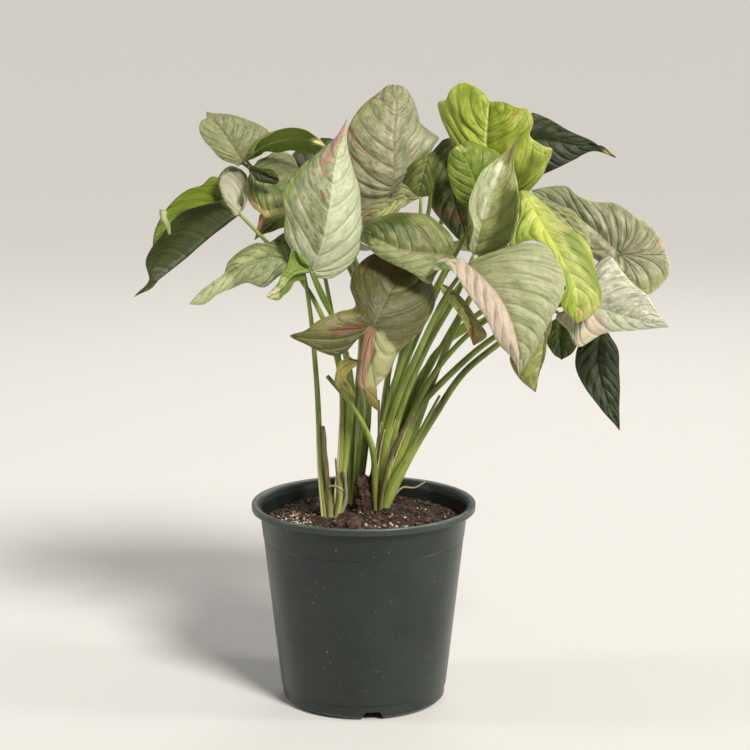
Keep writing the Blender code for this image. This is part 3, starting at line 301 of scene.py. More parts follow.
        "left": [(57, -40, 322), (51, -45, 317), (46, -49, 309), (34, -50, 315), (20, -47, 322),
            (5, -41, 331)],
        "right": [(63, -33, 331), (61, -30, 337), (55, -27, 345), (46, -26, 352), (33, -27, 354),
            (20, -29, 355), (12, -31, 352), (2, -34, 347)],
        "bulge": (0.12, 0.12), "wave": 1.0, "rows": 9},
    "blade_low_centre": {
        "rib": [(7, -56, 281), (14, -47, 295), (20, -38, 305), (27, -28, 316), (33, -18, 328)],
        "left": [(3, -58, 279), (-5, -62, 271), (-18, -67, 262), (-28, -70, 265), (-38, -74, 271),
            (-49, -78, 278), (-40, -74, 280), (-29, -68, 287), (-17, -62, 291), (-5, -52, 294),
            (-9, -40, 305), (-6, -32, 316), (6, -22, 325)],
        "right": [(1, -59, 276), (-3, -65, 260), (-3, -70, 241), (11, -70, 225), (9, -68, 240),
            (17, -66, 249), (24, -60, 263), (32, -54, 270), (42, -44, 279), (50, -32, 298),
            (47, -28, 307), (43, -20, 320)],
        "bulge": (0.06, 0.06), "wave": 0.6, "rows": 20},
    "blade_narrow_curl": {
        "rib": [(54, -22, 304), (65, -30, 296), (73, -36, 283), (76, -38, 264)],
        "left": [(59, -24, 303), (69, -31, 295), (79, -36, 281), (85, -36, 270)],
        "right": [(55, -24, 298), (62, -31, 290), (70, -37, 278)],
        "bulge": (0.20, 0.20), "wave": 0.5, "rows": 8},
    "blade_withered": {
        "rib": [(-2, -34, 252), (-11, -38, 253), (-17, -40, 244), (-12, -38, 234), (-5, -34, 227)],
        "left": [(-8, -32, 249), (-12, -34, 242), (-9, -34, 235)],
        "right": [(-9, -42, 257), (-17, -45, 253), (-19, -45, 241), (-13, -41, 231)],
        "bulge": (0.20, 0.20), "wave": 0.4, "rows": 8},
    "blade_left_back": {
        "rib": [(-39, 58, 349), (-38, 64, 374), (-30, 68, 398)],
        "left": [(-48, 60, 354), (-53, 63, 368), (-53, 66, 384), (-43, 69, 393)],
        "right": [(-30, 60, 354), (-21, 63, 368), (-17, 67, 386), (-22, 69, 397)],
        "bulge": (0.10, 0.10), "wave": 1.0, "rows": 9},
    "blade_green_inner": {
        "rib": [(46, 0, 395), (42, -3, 380), (38, -2, 362)],
        "left": [(50, 0, 392), (50, -2, 377), (46, -2, 364)],
        "right": [(40, 1, 390), (30, 1, 381), (28, 1, 370), (32, 0, 362)],
        "bulge": (0.14, 0.14), "wave": 1.0, "rows": 9},
    "blade_dark_inner": {
        "rib": [(63, 32, 401), (61, 24, 382), (64, 14, 359), (71, 6, 337), (74, 1, 324)],
        "left": [(70, 34, 399), (74, 27, 382), (78, 17, 362), (77, 7, 340)],
        "right": [(55, 32, 399), (47, 28, 389), (45, 20, 372), (47, 12, 355), (60, 6, 339)],
        "bulge": (0.12, 0.12), "wave": 1.0, "rows": 9},
    "blade_small_lobe": {
        "rib": [(-79, -6, 383), (-70, -12, 380), (-58, -12, 375)],
        "left": [(-78, -7, 385), (-70, -13, 384), (-62, -15, 382), (-59, -14, 379)],
        "right": [(-78, -6, 380), (-73, -10, 375), (-66, -12, 373), (-60, -12, 373)],
        "bulge": (0.20, 0.20), "wave": 0.5, "rows": 6},
}

STALKS = {
    "blade_far_left": ("crown_left", 2.4, 1.0, [(-16, 4, 178), (-19, -8, 251), (-43, -10, 305),
        (-66, -10, 331)]),
    "blade_low_left": ("crown_left", 2.4, 1.0, [(-30, -2, 165), (-33, -12, 235), (-38, -20, 293)]),
    "blade_front_left": ("crown_left", 2.5, 0.8, [(-13, 4, 174), (-10, -8, 220), (-14, -20, 261),
        (-24, -30, 290)]),
    "blade_low_left_curl": ("crown_left", 2.0, 0.4, [(-12, 2, 181), (-8, -14, 232), (-17, -30, 274),
        (-30, -40, 301)]),
    "blade_upper_left": ("crown_back", 2.4, 0.8, [(-9, 44, 179), (-2, 50, 260), (-5, 52, 296),
        (-21, 50, 335), (-54, 40, 362), (-77, 22, 378)]),
    "blade_arched": ("crown_back", 2.4, 0.8, [(-4, 40, 180), (2, 42, 261), (-3, 42, 298),
        (-18, 40, 333), (-51, 30, 363), (-76, 17, 379)]),
    "blade_left_inner": ("crown_back", 2.4, 0.8, [(-7, 48, 179), (-1, 58, 259), (-5, 60, 298),
        (-25, 60, 330), (-52, 56, 354), (-72, 34, 364), (-78, 12, 376)]),
    "blade_left_behind": ("crown_back", 2.4, 0.8, [(-5, 52, 178), (2, 62, 258), (-10, 62, 302),
        (-28, 58, 329)]),
    "blade_left_back": ("crown_back", 2.4, 0.8, [(-2, 54, 177), (3, 62, 265), (-10, 56, 318)]),
    "blade_top_centre": ("crown_back", 2.7, 1.2, [(2, 36, 189), (6, 26, 286), (14, 12, 338)]),
    "blade_low_centre": ("crown_back", 2.4, 0.8, [(1, 17, 193), (7, -26, 241)]),
    "blade_centre_pale": ("crown_centre", 2.4, 0.8, [(19, 16, 200), (31, 6, 275), (39, -4, 333)]),
    "blade_lime_top": ("crown_centre", 2.5, 1.0, [(25, 22, 201), (46, 22, 261), (86, 24, 322)]),
    "blade_dark_top_right": ("crown_centre", 2.6, 0.8, [(23, 40, 210), (48, 50, 282), (84, 56, 351)]),
    "blade_lime_inner": ("crown_centre", 2.4, 1.0, [(21, 10, 216), (38, 2, 268), (66, -6, 326)]),
    "blade_upright_right": ("crown_centre", 2.6, 1.4, [(26, 2, 209), (45, -8, 258), (68, -20, 303)]),
    "blade_front_right": ("crown_centre", 3.2, 2.4, [(19, -4, 205), (39, -26, 259), (59, -40, 303)]),
    "blade_centre": ("crown_centre", 3.0, 2.4, [(15, 0, 204), (32, -16, 261), (52, -28, 305)]),
    "blade_lime_hanging": ("crown_centre", 2.7, 1.0, [(33, 16, 183), (61, 2, 261), (95, -6, 333)]),
    "blade_right": ("crown_centre", 3.0, 1.2, [(33, 17, 174), (52, 15, 206), (72, 13, 236),
        (95, 11, 256), (139, 12, 288)]),
    "blade_pale_right": ("crown_centre", 3.0, 1.2, [(27, 12, 179), (43, 6, 216), (57, 2, 232),
        (92, -4, 264), (137, 6, 285)]),
    "blade_dark_hanging": ("crown_centre", 2.7, 0.8, [(43, 32, 232), (65, 36, 259), (83, 38, 274),
        (127, 38, 295), (161, 30, 285)]),
    "blade_dark_low": ("crown_centre", 2.4, 0.8, [(40, 26, 219), (48, 28, 242), (83, 30, 269),
        (123, 28, 286)]),
    "blade_behind_front_right": ("crown_centre", 2.6, 0.8, [(33, 8, 202), (54, -4, 244), (95, -26, 285)]),
    "blade_narrow_curl": ("crown_centre", 2.0, 0.4, [(22, 2, 218), (40, -14, 271)]),
    "blade_green_inner": ("crown_centre", 2.4, 0.8, [(15, 24, 213), (31, 14, 295), (47, 6, 363)]),
    "blade_dark_inner": ("crown_centre", 2.4, 0.8, [(20, 32, 212), (44, 36, 299), (60, 38, 363)]),
    "blade_olive_behind": ("crown_centre", 2.3, 0.8, [(31, 24, 199), (63, 18, 267), (102, 8, 331)]),
    "blade_withered": ("crown_back", 1.8, 0.4, [(-3, 14, 186), (0, -16, 225)]),
}

STUBS = [
    ("cut", "crown_centre", 2.6, 1.5, [(8, 8, 151), (6, -4, 185), (-9, -18, 219), (-25, -25, 240)]),
    ("dry", "crown_left", 3.0, 1.9, [(-25, -4, 146), (-27, -7, 169), (-29, -10, 201)]),
    ("dry", "crown_left", 1.6, 0.9, [(-19, -4, 146), (-19, -8, 162), (-20, -10, 178)]),
    ("root", "crown_left", 1.8, 1.2, [(-13, 2, 145), (-13, 0, 156), (-14, -2, 168)]),
    ("root", "crown_left", 1.2, 0.8, [(-24, -8, 157), (-19, -12, 158), (-14, -13, 155)]),
    ("dry", "crown_centre", 2.6, 1.4, [(13, 4, 152), (22, -6, 187), (35, -12, 211)]),
    ("cut", "crown_centre", 2.4, 0.9, [(20, 6, 157), (32, 4, 179), (54, 2, 221)]),
    ("dry", "crown_centre", 2.0, 0.9, [(10, 10, 150), (11, 2, 189), (11, -4, 219)]),
    ("dry", "crown_centre", 2.0, 0.8, [(9, 20, 155), (15, 12, 194), (19, 6, 236)]),
    ("root", "crown_centre", 1.0, 0.6, [(23, 30, 142), (28, 34, 146), (37, 38, 145), (45, 44, 148)]),
    ("dry", "crown_back", 2.2, 1.0, [(6, 34, 159), (3, 26, 191), (4, 22, 208)]),
]

CROWNS = {"crown_left": (-24.0, 2.0, 8.5), "crown_centre": (9.0, 22.0, 9.5), "crown_back": (-9.0, 42.0, 8.5)}
SOIL_LEVEL = 132.0
print(len(BLADES), "blades,", len(STALKS), "stalks,", len(STUBS), "stubs")

# %% [markdown]
# The leaves on the far side are given by base, tip and width alone: the outline of an arrowhead is
# stretched over them, as in the solids.

# %% Leaves on the far side
FAR_LEAVES = {
    "blade_back_left": ("crown_back", (-34, 66, 322), (-78, 116, 286), 84),
    "blade_back_centre": ("crown_back", (22, 84, 336), (28, 144, 292), 82),
    "blade_back_right": ("crown_centre", (92, 62, 322), (138, 112, 280), 80),
}
# Outline of an arrowhead blade: share of its length forward of the base, share of its width
ARROWHEAD = [(-0.16, 0.10), (-0.30, 0.26), (-0.20, 0.42), (0.08, 0.50), (0.38, 0.41), (0.70, 0.21)]
ARROW_ARCH = 0.10
ARROW_DROOP = 0.45


def arrowhead(base, tip, width):
    """Key points of a blade: the ARROWHEAD outline laid from base to tip, arched along its length
    by a parabola and drooped across its width by the square of the distance from the midrib."""
    base = np.array(base, float)
    ahead = np.array(tip, float) - base
    length = np.linalg.norm(ahead)
    ahead /= length
    left = np.cross((0.0, 0.0, 1.0), ahead)
    left /= np.linalg.norm(left)
    up = np.cross(ahead, left)

    def place(along, across):
        rise = ARROW_ARCH * length * 4 * along * (1 - along) - ARROW_DROOP * width * across ** 2
        return base + ahead * length * along + left * width * across + up * rise

    return {"rib": [place(along, 0.0) for along in (0.0, 0.35, 0.7, 1.0)],
            "left": [place(along, across) for along, across in ARROWHEAD],
            "right": [place(along, -across) for along, across in ARROWHEAD],
            "bulge": (0.06, 0.06), "wave": 1.2, "rows": 8}


for name, (crown, base, tip, width) in FAR_LEAVES.items():
    BLADES[name] = arrowhead(base, tip, width)
    x, y, _ = CROWNS[crown]
    low = (x + 0.18 * (base[0] - x), y + 0.30 * (base[1] - y), 190.0)
    high = (x + 0.70 * (base[0] - x), y + 0.70 * (base[1] - y), base[2] - 34.0)
    STALKS[name] = (crown, 2.4, 0.8, [low, high])
print(len(BLADES), "blades with the far side")

# %% [markdown]
# ## Surfaces from curves
# A smooth curve passes through the key points as cubic pieces whose slopes come from the neighbours.
# Whole arrays are worked out at once, and one function turns points and faces into an object.

# %% Curves and meshes
def spline(keys, at):
    """Points of a cubic curve through the keys, read at shares (0 to 1) of its chord length.

    Each piece is a Hermite cubic: key * (2t3 - 3t2 + 1) + slope * (t3 - 2t2 + t) and so on.
    """
    keys = np.asarray(keys, float)
    chord = np.r_[0.0, np.cumsum(np.linalg.norm(np.diff(keys, axis=0), axis=1))]
    slope = np.gradient(keys, chord, axis=0)
    place = np.asarray(at) * chord[-1]
    cell = np.clip(np.searchsorted(chord, place, side="right") - 1, 0, len(keys) - 2)
    span = (chord[cell + 1] - chord[cell])[:, None]
    t = (place - chord[cell])[:, None] / span
    start = (2 * t**3 - 3 * t**2 + 1) * keys[cell] + (t**3 - 2 * t**2 + t) * span * slope[cell]
    return start + (3 * t**2 - 2 * t**3) * keys[cell + 1] + (t**3 - t**2) * span * slope[cell + 1]


def unit(vectors):
    """Vectors made one long; a zero vector stays zero."""
    return vectors / (np.linalg.norm(vectors, axis=-1, keepdims=True) + 1e-12)


def smooth_rows(values, reach):
    """Running mean over 2 * reach + 1 rows, the ends repeated outward."""
    padded = np.concatenate([np.repeat(values[:1], reach, 0), values, np.repeat(values[-1:], reach, 0)])
    total = np.cumsum(np.concatenate([np.zeros_like(padded[:1]), padded]), axis=0)
    return (total[2 * reach + 1:] - total[:-2 * reach - 1]) / (2 * reach + 1)


def grid_faces(rows, columns, closed=False):
    """Quads of a grid of points numbered row by row; closed joins the last column to the first."""
    row, column = np.meshgrid(np.arange(rows - 1), np.arange(columns if closed else columns - 1), indexing="ij")
    after = (column + 1) % columns
    quads = np.stack([row * columns + column, row * columns + after,
                      (row + 1) * columns + after, (row + 1) * columns + column], axis=-1)
    return quads.reshape(-1, 4)


def add_piece(name, points, faces, paint, uv=None, marks=None, replaced=(), merge=0.0):
    """Object from millimetre points; uv and marks (name to value) are given per point."""
    mesh = bpy.data.meshes.new(name)
    mesh.from_pydata((np.asarray(points) * MM).tolist(), [], [list(f) for f in faces])
    if uv is not None:
        corner = np.empty(len(mesh.loops), dtype=np.int32)
        mesh.loops.foreach_get("vertex_index", corner)
        layer = mesh.uv_layers.new(name="leaf")
        layer.uv.foreach_set("vector", np.asarray(uv, dtype=np.float32)[corner].ravel())
    for word, values in (marks or {}).items():
        mesh.attributes.new(word, "FLOAT", "POINT").data.foreach_set("value", np.asarray(values, dtype=np.float32))
    if merge:
        sheet = bmesh.new()
        sheet.from_mesh(mesh)
        bmesh.ops.remove_doubles(sheet, verts=sheet.verts, dist=merge * MM)
        bmesh.ops.dissolve_degenerate(sheet, edges=sheet.edges, dist=1e-7)
        sheet.to_mesh(mesh)
        sheet.free()
    mesh.shade_smooth()
    mesh.materials.append(paint)
    piece = bpy.data.objects.new(name, mesh)
    bpy.context.scene.collection.objects.link(piece)
    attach(piece, "root")
    if replaced:
        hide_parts(*replaced)
    return piece


# %% [markdown]
# ## Materials from nodes
# A material is a small program of nodes.  These helpers add a node, set or link its inputs, and hand
# back the socket that the next node needs, so that a recipe reads like arithmetic.

# %% Node helpers
def put(tree, kind, inputs=None, output=0, **settings):
    """Add a node, set its settings and inputs (numbers or sockets), return one output socket."""
    made = tree.nodes.new(kind)
    for key, value in settings.items():
        setattr(made, key, value)
    for key, value in (inputs or {}).items():
        if isinstance(value, bpy.types.NodeSocket):
            tree.links.new(value, made.inputs[key])
        else:
            made.inputs[key].default_value = value
    return made.outputs[output]


def calc(tree, operation, a, b=0.0, c=0.0):
    """One step of arithmetic."""
    return put(tree, "ShaderNodeMath", {0: a, 1: b, 2: c}, operation=operation)


def step_up(tree, value, low, high):
    """0 below low, 1 above high, a smooth rise between them."""
    return put(tree, "ShaderNodeMapRange", {"Value": value, "From Min": low, "From Max": high},
               interpolation_type="SMOOTHSTEP")


def blend(tree, share, a, b, mode="MIX"):
    """Colour a with share of colour b."""
    return put(tree, "ShaderNodeMix", {0: share, 6: a, 7: b}, output=2, data_type="RGBA", blend_type=mode)


def noise(tree, vector, scale, detail=3.0, rough=0.55):
    """Grey noise, about 0.5 in the mean."""
    return put(tree, "ShaderNodeTexNoise", {"Vector": vector, "Scale": scale, "Detail": detail, "Roughness": rough})


def new_group(name, inputs, outputs):
    """Empty node group with named inputs and outputs; returns the tree and its input and output nodes."""
    tree = bpy.data.node_groups.new(name, "ShaderNodeTree")
    for word, kind, value in inputs:
        socket = tree.interface.new_socket(name=word, in_out="INPUT", socket_type=kind)
        socket.default_value = value
    for word, kind in outputs:
        tree.interface.new_socket(name=word, in_out="OUTPUT", socket_type=kind)
    return tree, tree.nodes.new("NodeGroupInput"), tree.nodes.new("NodeGroupOutput")


def use_group(tree, group, **values):
    """Place a group in a material and set its inputs."""
    made = tree.nodes.new("ShaderNodeGroup")
    made.node_tree = group
    for key, value in values.items():
        made.inputs[key.replace("_", " ")].default_value = value
    return made


def new_material(name, roughness=0.5):
    """Material with one Principled shader; returns the material, its tree and the shader."""
    paint = bpy.data.materials.new(name)
    paint.use_nodes = True
    shader = paint.node_tree.nodes["Principled BSDF"]
    shader.inputs["Roughness"].default_value = roughness
    return paint, paint.node_tree, shader


# %% [markdown]
# ## Variegation
# Each blade carries its own map: across it u runs from the left edge over the midrib to the right
# edge, and v runs from the lobes to the tip.  Lines of equal vein number leave the midrib and sweep
# forward to the edge, as side veins do.  Noise that is stretched along those lines makes the green
# streaks between the veins, the dark flecks and the pink ones.  The group puts out the colour, the
# height of the fine relief and the roughness.

# %% Group: colours of a variegated blade
COLOUR = "NodeSocketColor"
VALUE = "NodeSocketFloat"
VECTOR = "NodeSocketVector"


def make_variegation():
    """Colour = pale, with green streaks, dark and pink flecks, vein and midrib lines with a band of painted shade
    beside each vein, and a margin.

    Vein number = v * veins - 1.3 * (distance from the midrib)^2, whole numbers lie on side veins.
    """
    inputs = [("Pale left", COLOUR, (0.5, 0.5, 0.4, 1)), ("Pale right", COLOUR, (0.5, 0.5, 0.4, 1)),
              ("Green", COLOUR, (0.2, 0.3, 0.1, 1)), ("Dark", COLOUR, (0.05, 0.1, 0.02, 1)),
              ("Pink", COLOUR, (0.5, 0.2, 0.2, 1)), ("Rib", COLOUR, (0.6, 0.6, 0.4, 1)),
              ("Margin", COLOUR, (0.6, 0.6, 0.4, 1)), ("Under", COLOUR, (0.3, 0.4, 0.2, 1)),
              ("Green left", VALUE, 0.5), ("Green right", VALUE, 0.5), ("Flecks", VALUE, 0.2),
              ("Blush", VALUE, 0.1), ("Vein", VALUE, 0.15), ("Veins", VALUE, 8.0), ("Seed", VALUE, 0.0)]
    outputs = [("Colour", COLOUR), ("Height", VALUE), ("Roughness", VALUE), ("Streak", VALUE)]
    tree, given, out = new_group("variegation", inputs, outputs)
    take = given.outputs
    place = put(tree, "ShaderNodeUVMap", uv_map="leaf")
    parts = tree.nodes.new("ShaderNodeSeparateXYZ")
    tree.links.new(place, parts.inputs[0])
    across = calc(tree, "MULTIPLY_ADD", parts.outputs[0], 2.0, -1.0)
    out_from_rib = calc(tree, "ABSOLUTE", across)
    right = calc(tree, "GREATER_THAN", across, 0.0)
    sweep = calc(tree, "MULTIPLY", calc(tree, "MULTIPLY", out_from_rib, out_from_rib), 1.3)
    vein_number = calc(tree, "SUBTRACT", calc(tree, "MULTIPLY", parts.outputs[1], take["Veins"]), sweep)
    seed = calc(tree, "MULTIPLY_ADD", right, 9.0, take["Seed"])

    def stretched(along_vein, between_veins, shift):
        return put(tree, "ShaderNodeCombineXYZ", {
            0: calc(tree, "MULTIPLY", vein_number, between_veins),
            1: calc(tree, "MULTIPLY", out_from_rib, along_vein),
            2: calc(tree, "ADD", seed, shift)})

    def over(mask, strength, colour, tint, mode="MIX"):
        return blend(tree, calc(tree, "MULTIPLY", mask, strength), colour, tint, mode)

    pale = blend(tree, right, take["Pale left"], take["Pale right"])
    share = put(tree, "ShaderNodeMix", {0: right, 2: take["Green left"], 3: take["Green right"]})
    streak = noise(tree, stretched(1.8, 1.1, 0.0), 1.7, 5.0, 0.62)
    fine = noise(tree, stretched(5.0, 8.0, 3.0), 1.5, 4.0, 0.62)
    mixed = calc(tree, "MULTIPLY_ADD", fine, 0.42, calc(tree, "MULTIPLY", streak, 0.74))
    level = calc(tree, "MULTIPLY_ADD", share, -0.46, 0.81)
    green = step_up(tree, mixed, calc(tree, "SUBTRACT", level, 0.12), calc(tree, "ADD", level, 0.12))
    colour = over(green, 0.85, pale, take["Green"])
    many = calc(tree, "MINIMUM", calc(tree, "MULTIPLY_ADD", share, 2.2, 0.12), 1.0)
    lively = calc(tree, "MULTIPLY_ADD", many, 0.55, 0.45)
    tone = noise(tree, stretched(2.4, 2.6, 31.0), 2.0, 5.0, 0.65)
    colour = over(step_up(tree, tone, 0.35, 0.70), calc(tree, "MULTIPLY", lively, 0.52), colour, take["Dark"], "MULTIPLY")
    spot = put(tree, "ShaderNodeTexCoord", output=3)
    cells = noise(tree, spot, 330.0, 4.0, 0.7)
    colour = over(step_up(tree, cells, 0.46, 0.66), calc(tree, "MULTIPLY", lively, 0.28), colour, take["Dark"])
    colour = over(step_up(tree, cells, 0.46, 0.30), 0.22, colour, take["Margin"])
    gap = calc(tree, "PINGPONG", vein_number, 0.5)
    colour = over(step_up(tree, gap, 0.30, 0.02), take["Vein"], colour, take["Rib"])
    # Painted shade: a narrow dark band beside each pale vein line, where the furrow of the vein would be shaded.
    shade = calc(tree, "MULTIPLY", step_up(tree, gap, 0.05, 0.10), step_up(tree, gap, 0.26, 0.12))
    colour = over(shade, 0.16, colour, take["Dark"])
    fleck_level = calc(tree, "MULTIPLY_ADD", take["Flecks"], -0.22, 0.80)
    fleck = noise(tree, stretched(5.0, 4.0, 11.0), 1.5, 2.0, 0.5)
    small = step_up(tree, fleck, fleck_level, calc(tree, "ADD", fleck_level, 0.08))
    spot = noise(tree, stretched(3.0, 2.2, 17.0), 1.6, 1.0, 0.4)
    large = step_up(tree, spot, calc(tree, "ADD", fleck_level, 0.01), calc(tree, "ADD", fleck_level, 0.11))
    colour = over(calc(tree, "MULTIPLY", calc(tree, "MAXIMUM", small, large), many), 0.68, colour, take["Dark"])
    flush = noise(tree, stretched(2.6, 4.6, 23.0), 1.5, 3.0, 0.55)
    flush_level = calc(tree, "MULTIPLY_ADD", take["Blush"], -0.24, 0.80)
    pink = step_up(tree, flush, flush_level, calc(tree, "ADD", flush_level, 0.12))
    colour = over(pink, 0.72, colour, take["Pink"])
    colour = over(step_up(tree, out_from_rib, 0.038, 0.010), 0.6, colour, take["Rib"])
    colour = over(step_up(tree, out_from_rib, 0.962, 0.990), 0.5, colour, take["Margin"])
    under = put(tree, "ShaderNodeAttribute", output=2, attribute_name="under")
    colour = blend(tree, under, colour, blend(tree, 0.65, colour, take["Under"]))
    tree.links.new(colour, out.inputs["Colour"])
    furrow = calc(tree, "MULTIPLY", step_up(tree, gap, 0.0, 0.18), 0.6)
    edge_vein = calc(tree, "ABSOLUTE", calc(tree, "SUBTRACT", out_from_rib, 0.88))
    furrow = calc(tree, "MULTIPLY_ADD", step_up(tree, edge_vein, 0.0, 0.025), 0.35, furrow)
    relief = calc(tree, "MULTIPLY_ADD", fine, 0.65, calc(tree, "MULTIPLY_ADD", cells, 0.35, furrow))
    tree.links.new(relief, out.inputs["Height"])
    tree.links.new(calc(tree, "MULTIPLY_ADD", streak, 0.26, 0.30), out.inputs["Roughness"])
    tree.links.new(fine, out.inputs["Streak"])
    return tree


VARIEGATION = make_variegation()
print("group:", VARIEGATION.name, len(VARIEGATION.nodes), "nodes")

# %% [markdown]
# Some blotches are seen at one place on one leaf only, such as the salmon tip of the big front leaf. A few of them are
# painted shade, on a shaded half, beside a crease and in a slit, and one is a painted highlight.
# Such a patch is the space within a radius of a line between two points.  Its edge is broken up by
# noise and by the streaks along the veins: the more ragged, the further the edge moves.

# %% Group: a blotch at one place
def make_patch():
    """Mask = 1 within the radius around the line from one point to the other, fading over the soft
    width.  The nearest point of the line lies at share (p - from) . (to - from) / (length squared)."""
    inputs = [("From", VECTOR, (0, 0, 0)), ("To", VECTOR, (0, 0, 0)), ("Radius", VALUE, 0.01), ("Soft", VALUE, 0.003),
              ("Ragged", VALUE, 1.0), ("Streak", VALUE, 0.5)]
    tree, given, out = new_group("patch", inputs, [("Mask", VALUE)])
    take = given.outputs
    spot = put(tree, "ShaderNodeTexCoord", output=3)
    reach = put(tree, "ShaderNodeVectorMath", {0: spot, 1: take["From"]}, operation="SUBTRACT")
    line = put(tree, "ShaderNodeVectorMath", {0: take["To"], 1: take["From"]}, operation="SUBTRACT")
    along = put(tree, "ShaderNodeVectorMath", {0: reach, 1: line}, output=1, operation="DOT_PRODUCT")
    length = put(tree, "ShaderNodeVectorMath", {0: line, 1: line}, output=1, operation="DOT_PRODUCT")
    share = calc(tree, "MINIMUM", calc(tree, "MAXIMUM", calc(tree, "DIVIDE", along, calc(tree, "ADD", length, 1e-9)), 0.0), 1.0)
    nearest = put(tree, "ShaderNodeVectorMath", {0: line, 3: share}, operation="SCALE")
    gap = put(tree, "ShaderNodeVectorMath", {0: reach, 1: nearest}, output=1, operation="DISTANCE")
    rough = noise(tree, spot, 160.0, 3.0, 0.6)
    ragged = calc(tree, "MULTIPLY", take["Radius"], take["Ragged"])
    for edge, strength in ((rough, 1.2), (take["Streak"], 1.8)):
        moved = calc(tree, "MULTIPLY", calc(tree, "SUBTRACT", edge, 0.5), strength)
        gap = calc(tree, "MULTIPLY_ADD", moved, ragged, gap)
    inner = calc(tree, "SUBTRACT", take["Radius"], take["Soft"])
    mask = step_up(tree, gap, take["Radius"], inner)
    tree.links.new(mask, out.inputs["Mask"])
    return tree


PATCH = make_patch()


def leaf_material(name, look):
    """Blade material: the variegation group with this leaf's own colours, then its blotches."""
    paint, tree, shader = new_material(name)
    group = use_group(tree, VARIEGATION, **{key: value for key, value in look.items() if key not in ("patches", "Quilt")})
    colour = group.outputs["Colour"]
    for start, end, radius, soft, ragged, tint, strength in look["patches"]:
        spot = use_group(tree, PATCH, From=[v * MM for v in start], To=[v * MM for v in end], Radius=radius * MM,
                         Soft=soft * MM, Ragged=ragged)
        tree.links.new(group.outputs["Streak"], spot.inputs["Streak"])
        colour = blend(tree, calc(tree, "MULTIPLY", spot.outputs["Mask"], strength), colour, linear(tint))
    tree.links.new(colour, shader.inputs["Base Color"])
    tree.links.new(group.outputs["Roughness"], shader.inputs["Roughness"])
    bump = put(tree, "ShaderNodeBump", {"Strength": 0.7, "Distance": 0.0011, "Height": group.outputs["Height"]})
    tree.links.new(bump, shader.inputs["Normal"])
    shader.inputs["Subsurface Weight"].default_value = 0.15
    shader.inputs["Subsurface Radius"].default_value = (1.0, 1.0, 0.35)
    shader.inputs["Subsurface Scale"].default_value = 0.0012
    shader.inputs["Specular IOR Level"].default_value = 0.42
    return paint


# %% [markdown]
# ## Looks of the leaves
# No two leaves of a variegated plant are alike, so each has its own line: the pale colour of either
# half, the green and dark of its streaks, how much of each half is green, how many dark and pink
# flecks it has, and its blotches (from, to, radius, soft width, raggedness, colour, strength).

# %% Colours of each leaf
TINTS = ("Pale left", "Pale right", "Green", "Dark", "Pink", "Rib", "Margin", "Under")
SHARES = ("Green left", "Green right", "Flecks", "Blush", "Vein", "Quilt", "Veins", "Seed")


def linear(code):
    """Light of a hexadecimal colour code: ((value / 255 + 0.055) / 1.055)^2.4 for each channel."""
    value = np.array([int(code[k:k + 2], 16) for k in (0, 2, 4)]) / 255
    return tuple(((value + 0.055) / 1.055) ** 2.4) + (1.0,)


def look(tints, shares, *patches):
    """One leaf's line: its eight colours, its eight shares and its blotches."""
    return dict(zip(TINTS, map(linear, tints.split()))) | dict(zip(SHARES, shares)) | {"patches": patches}
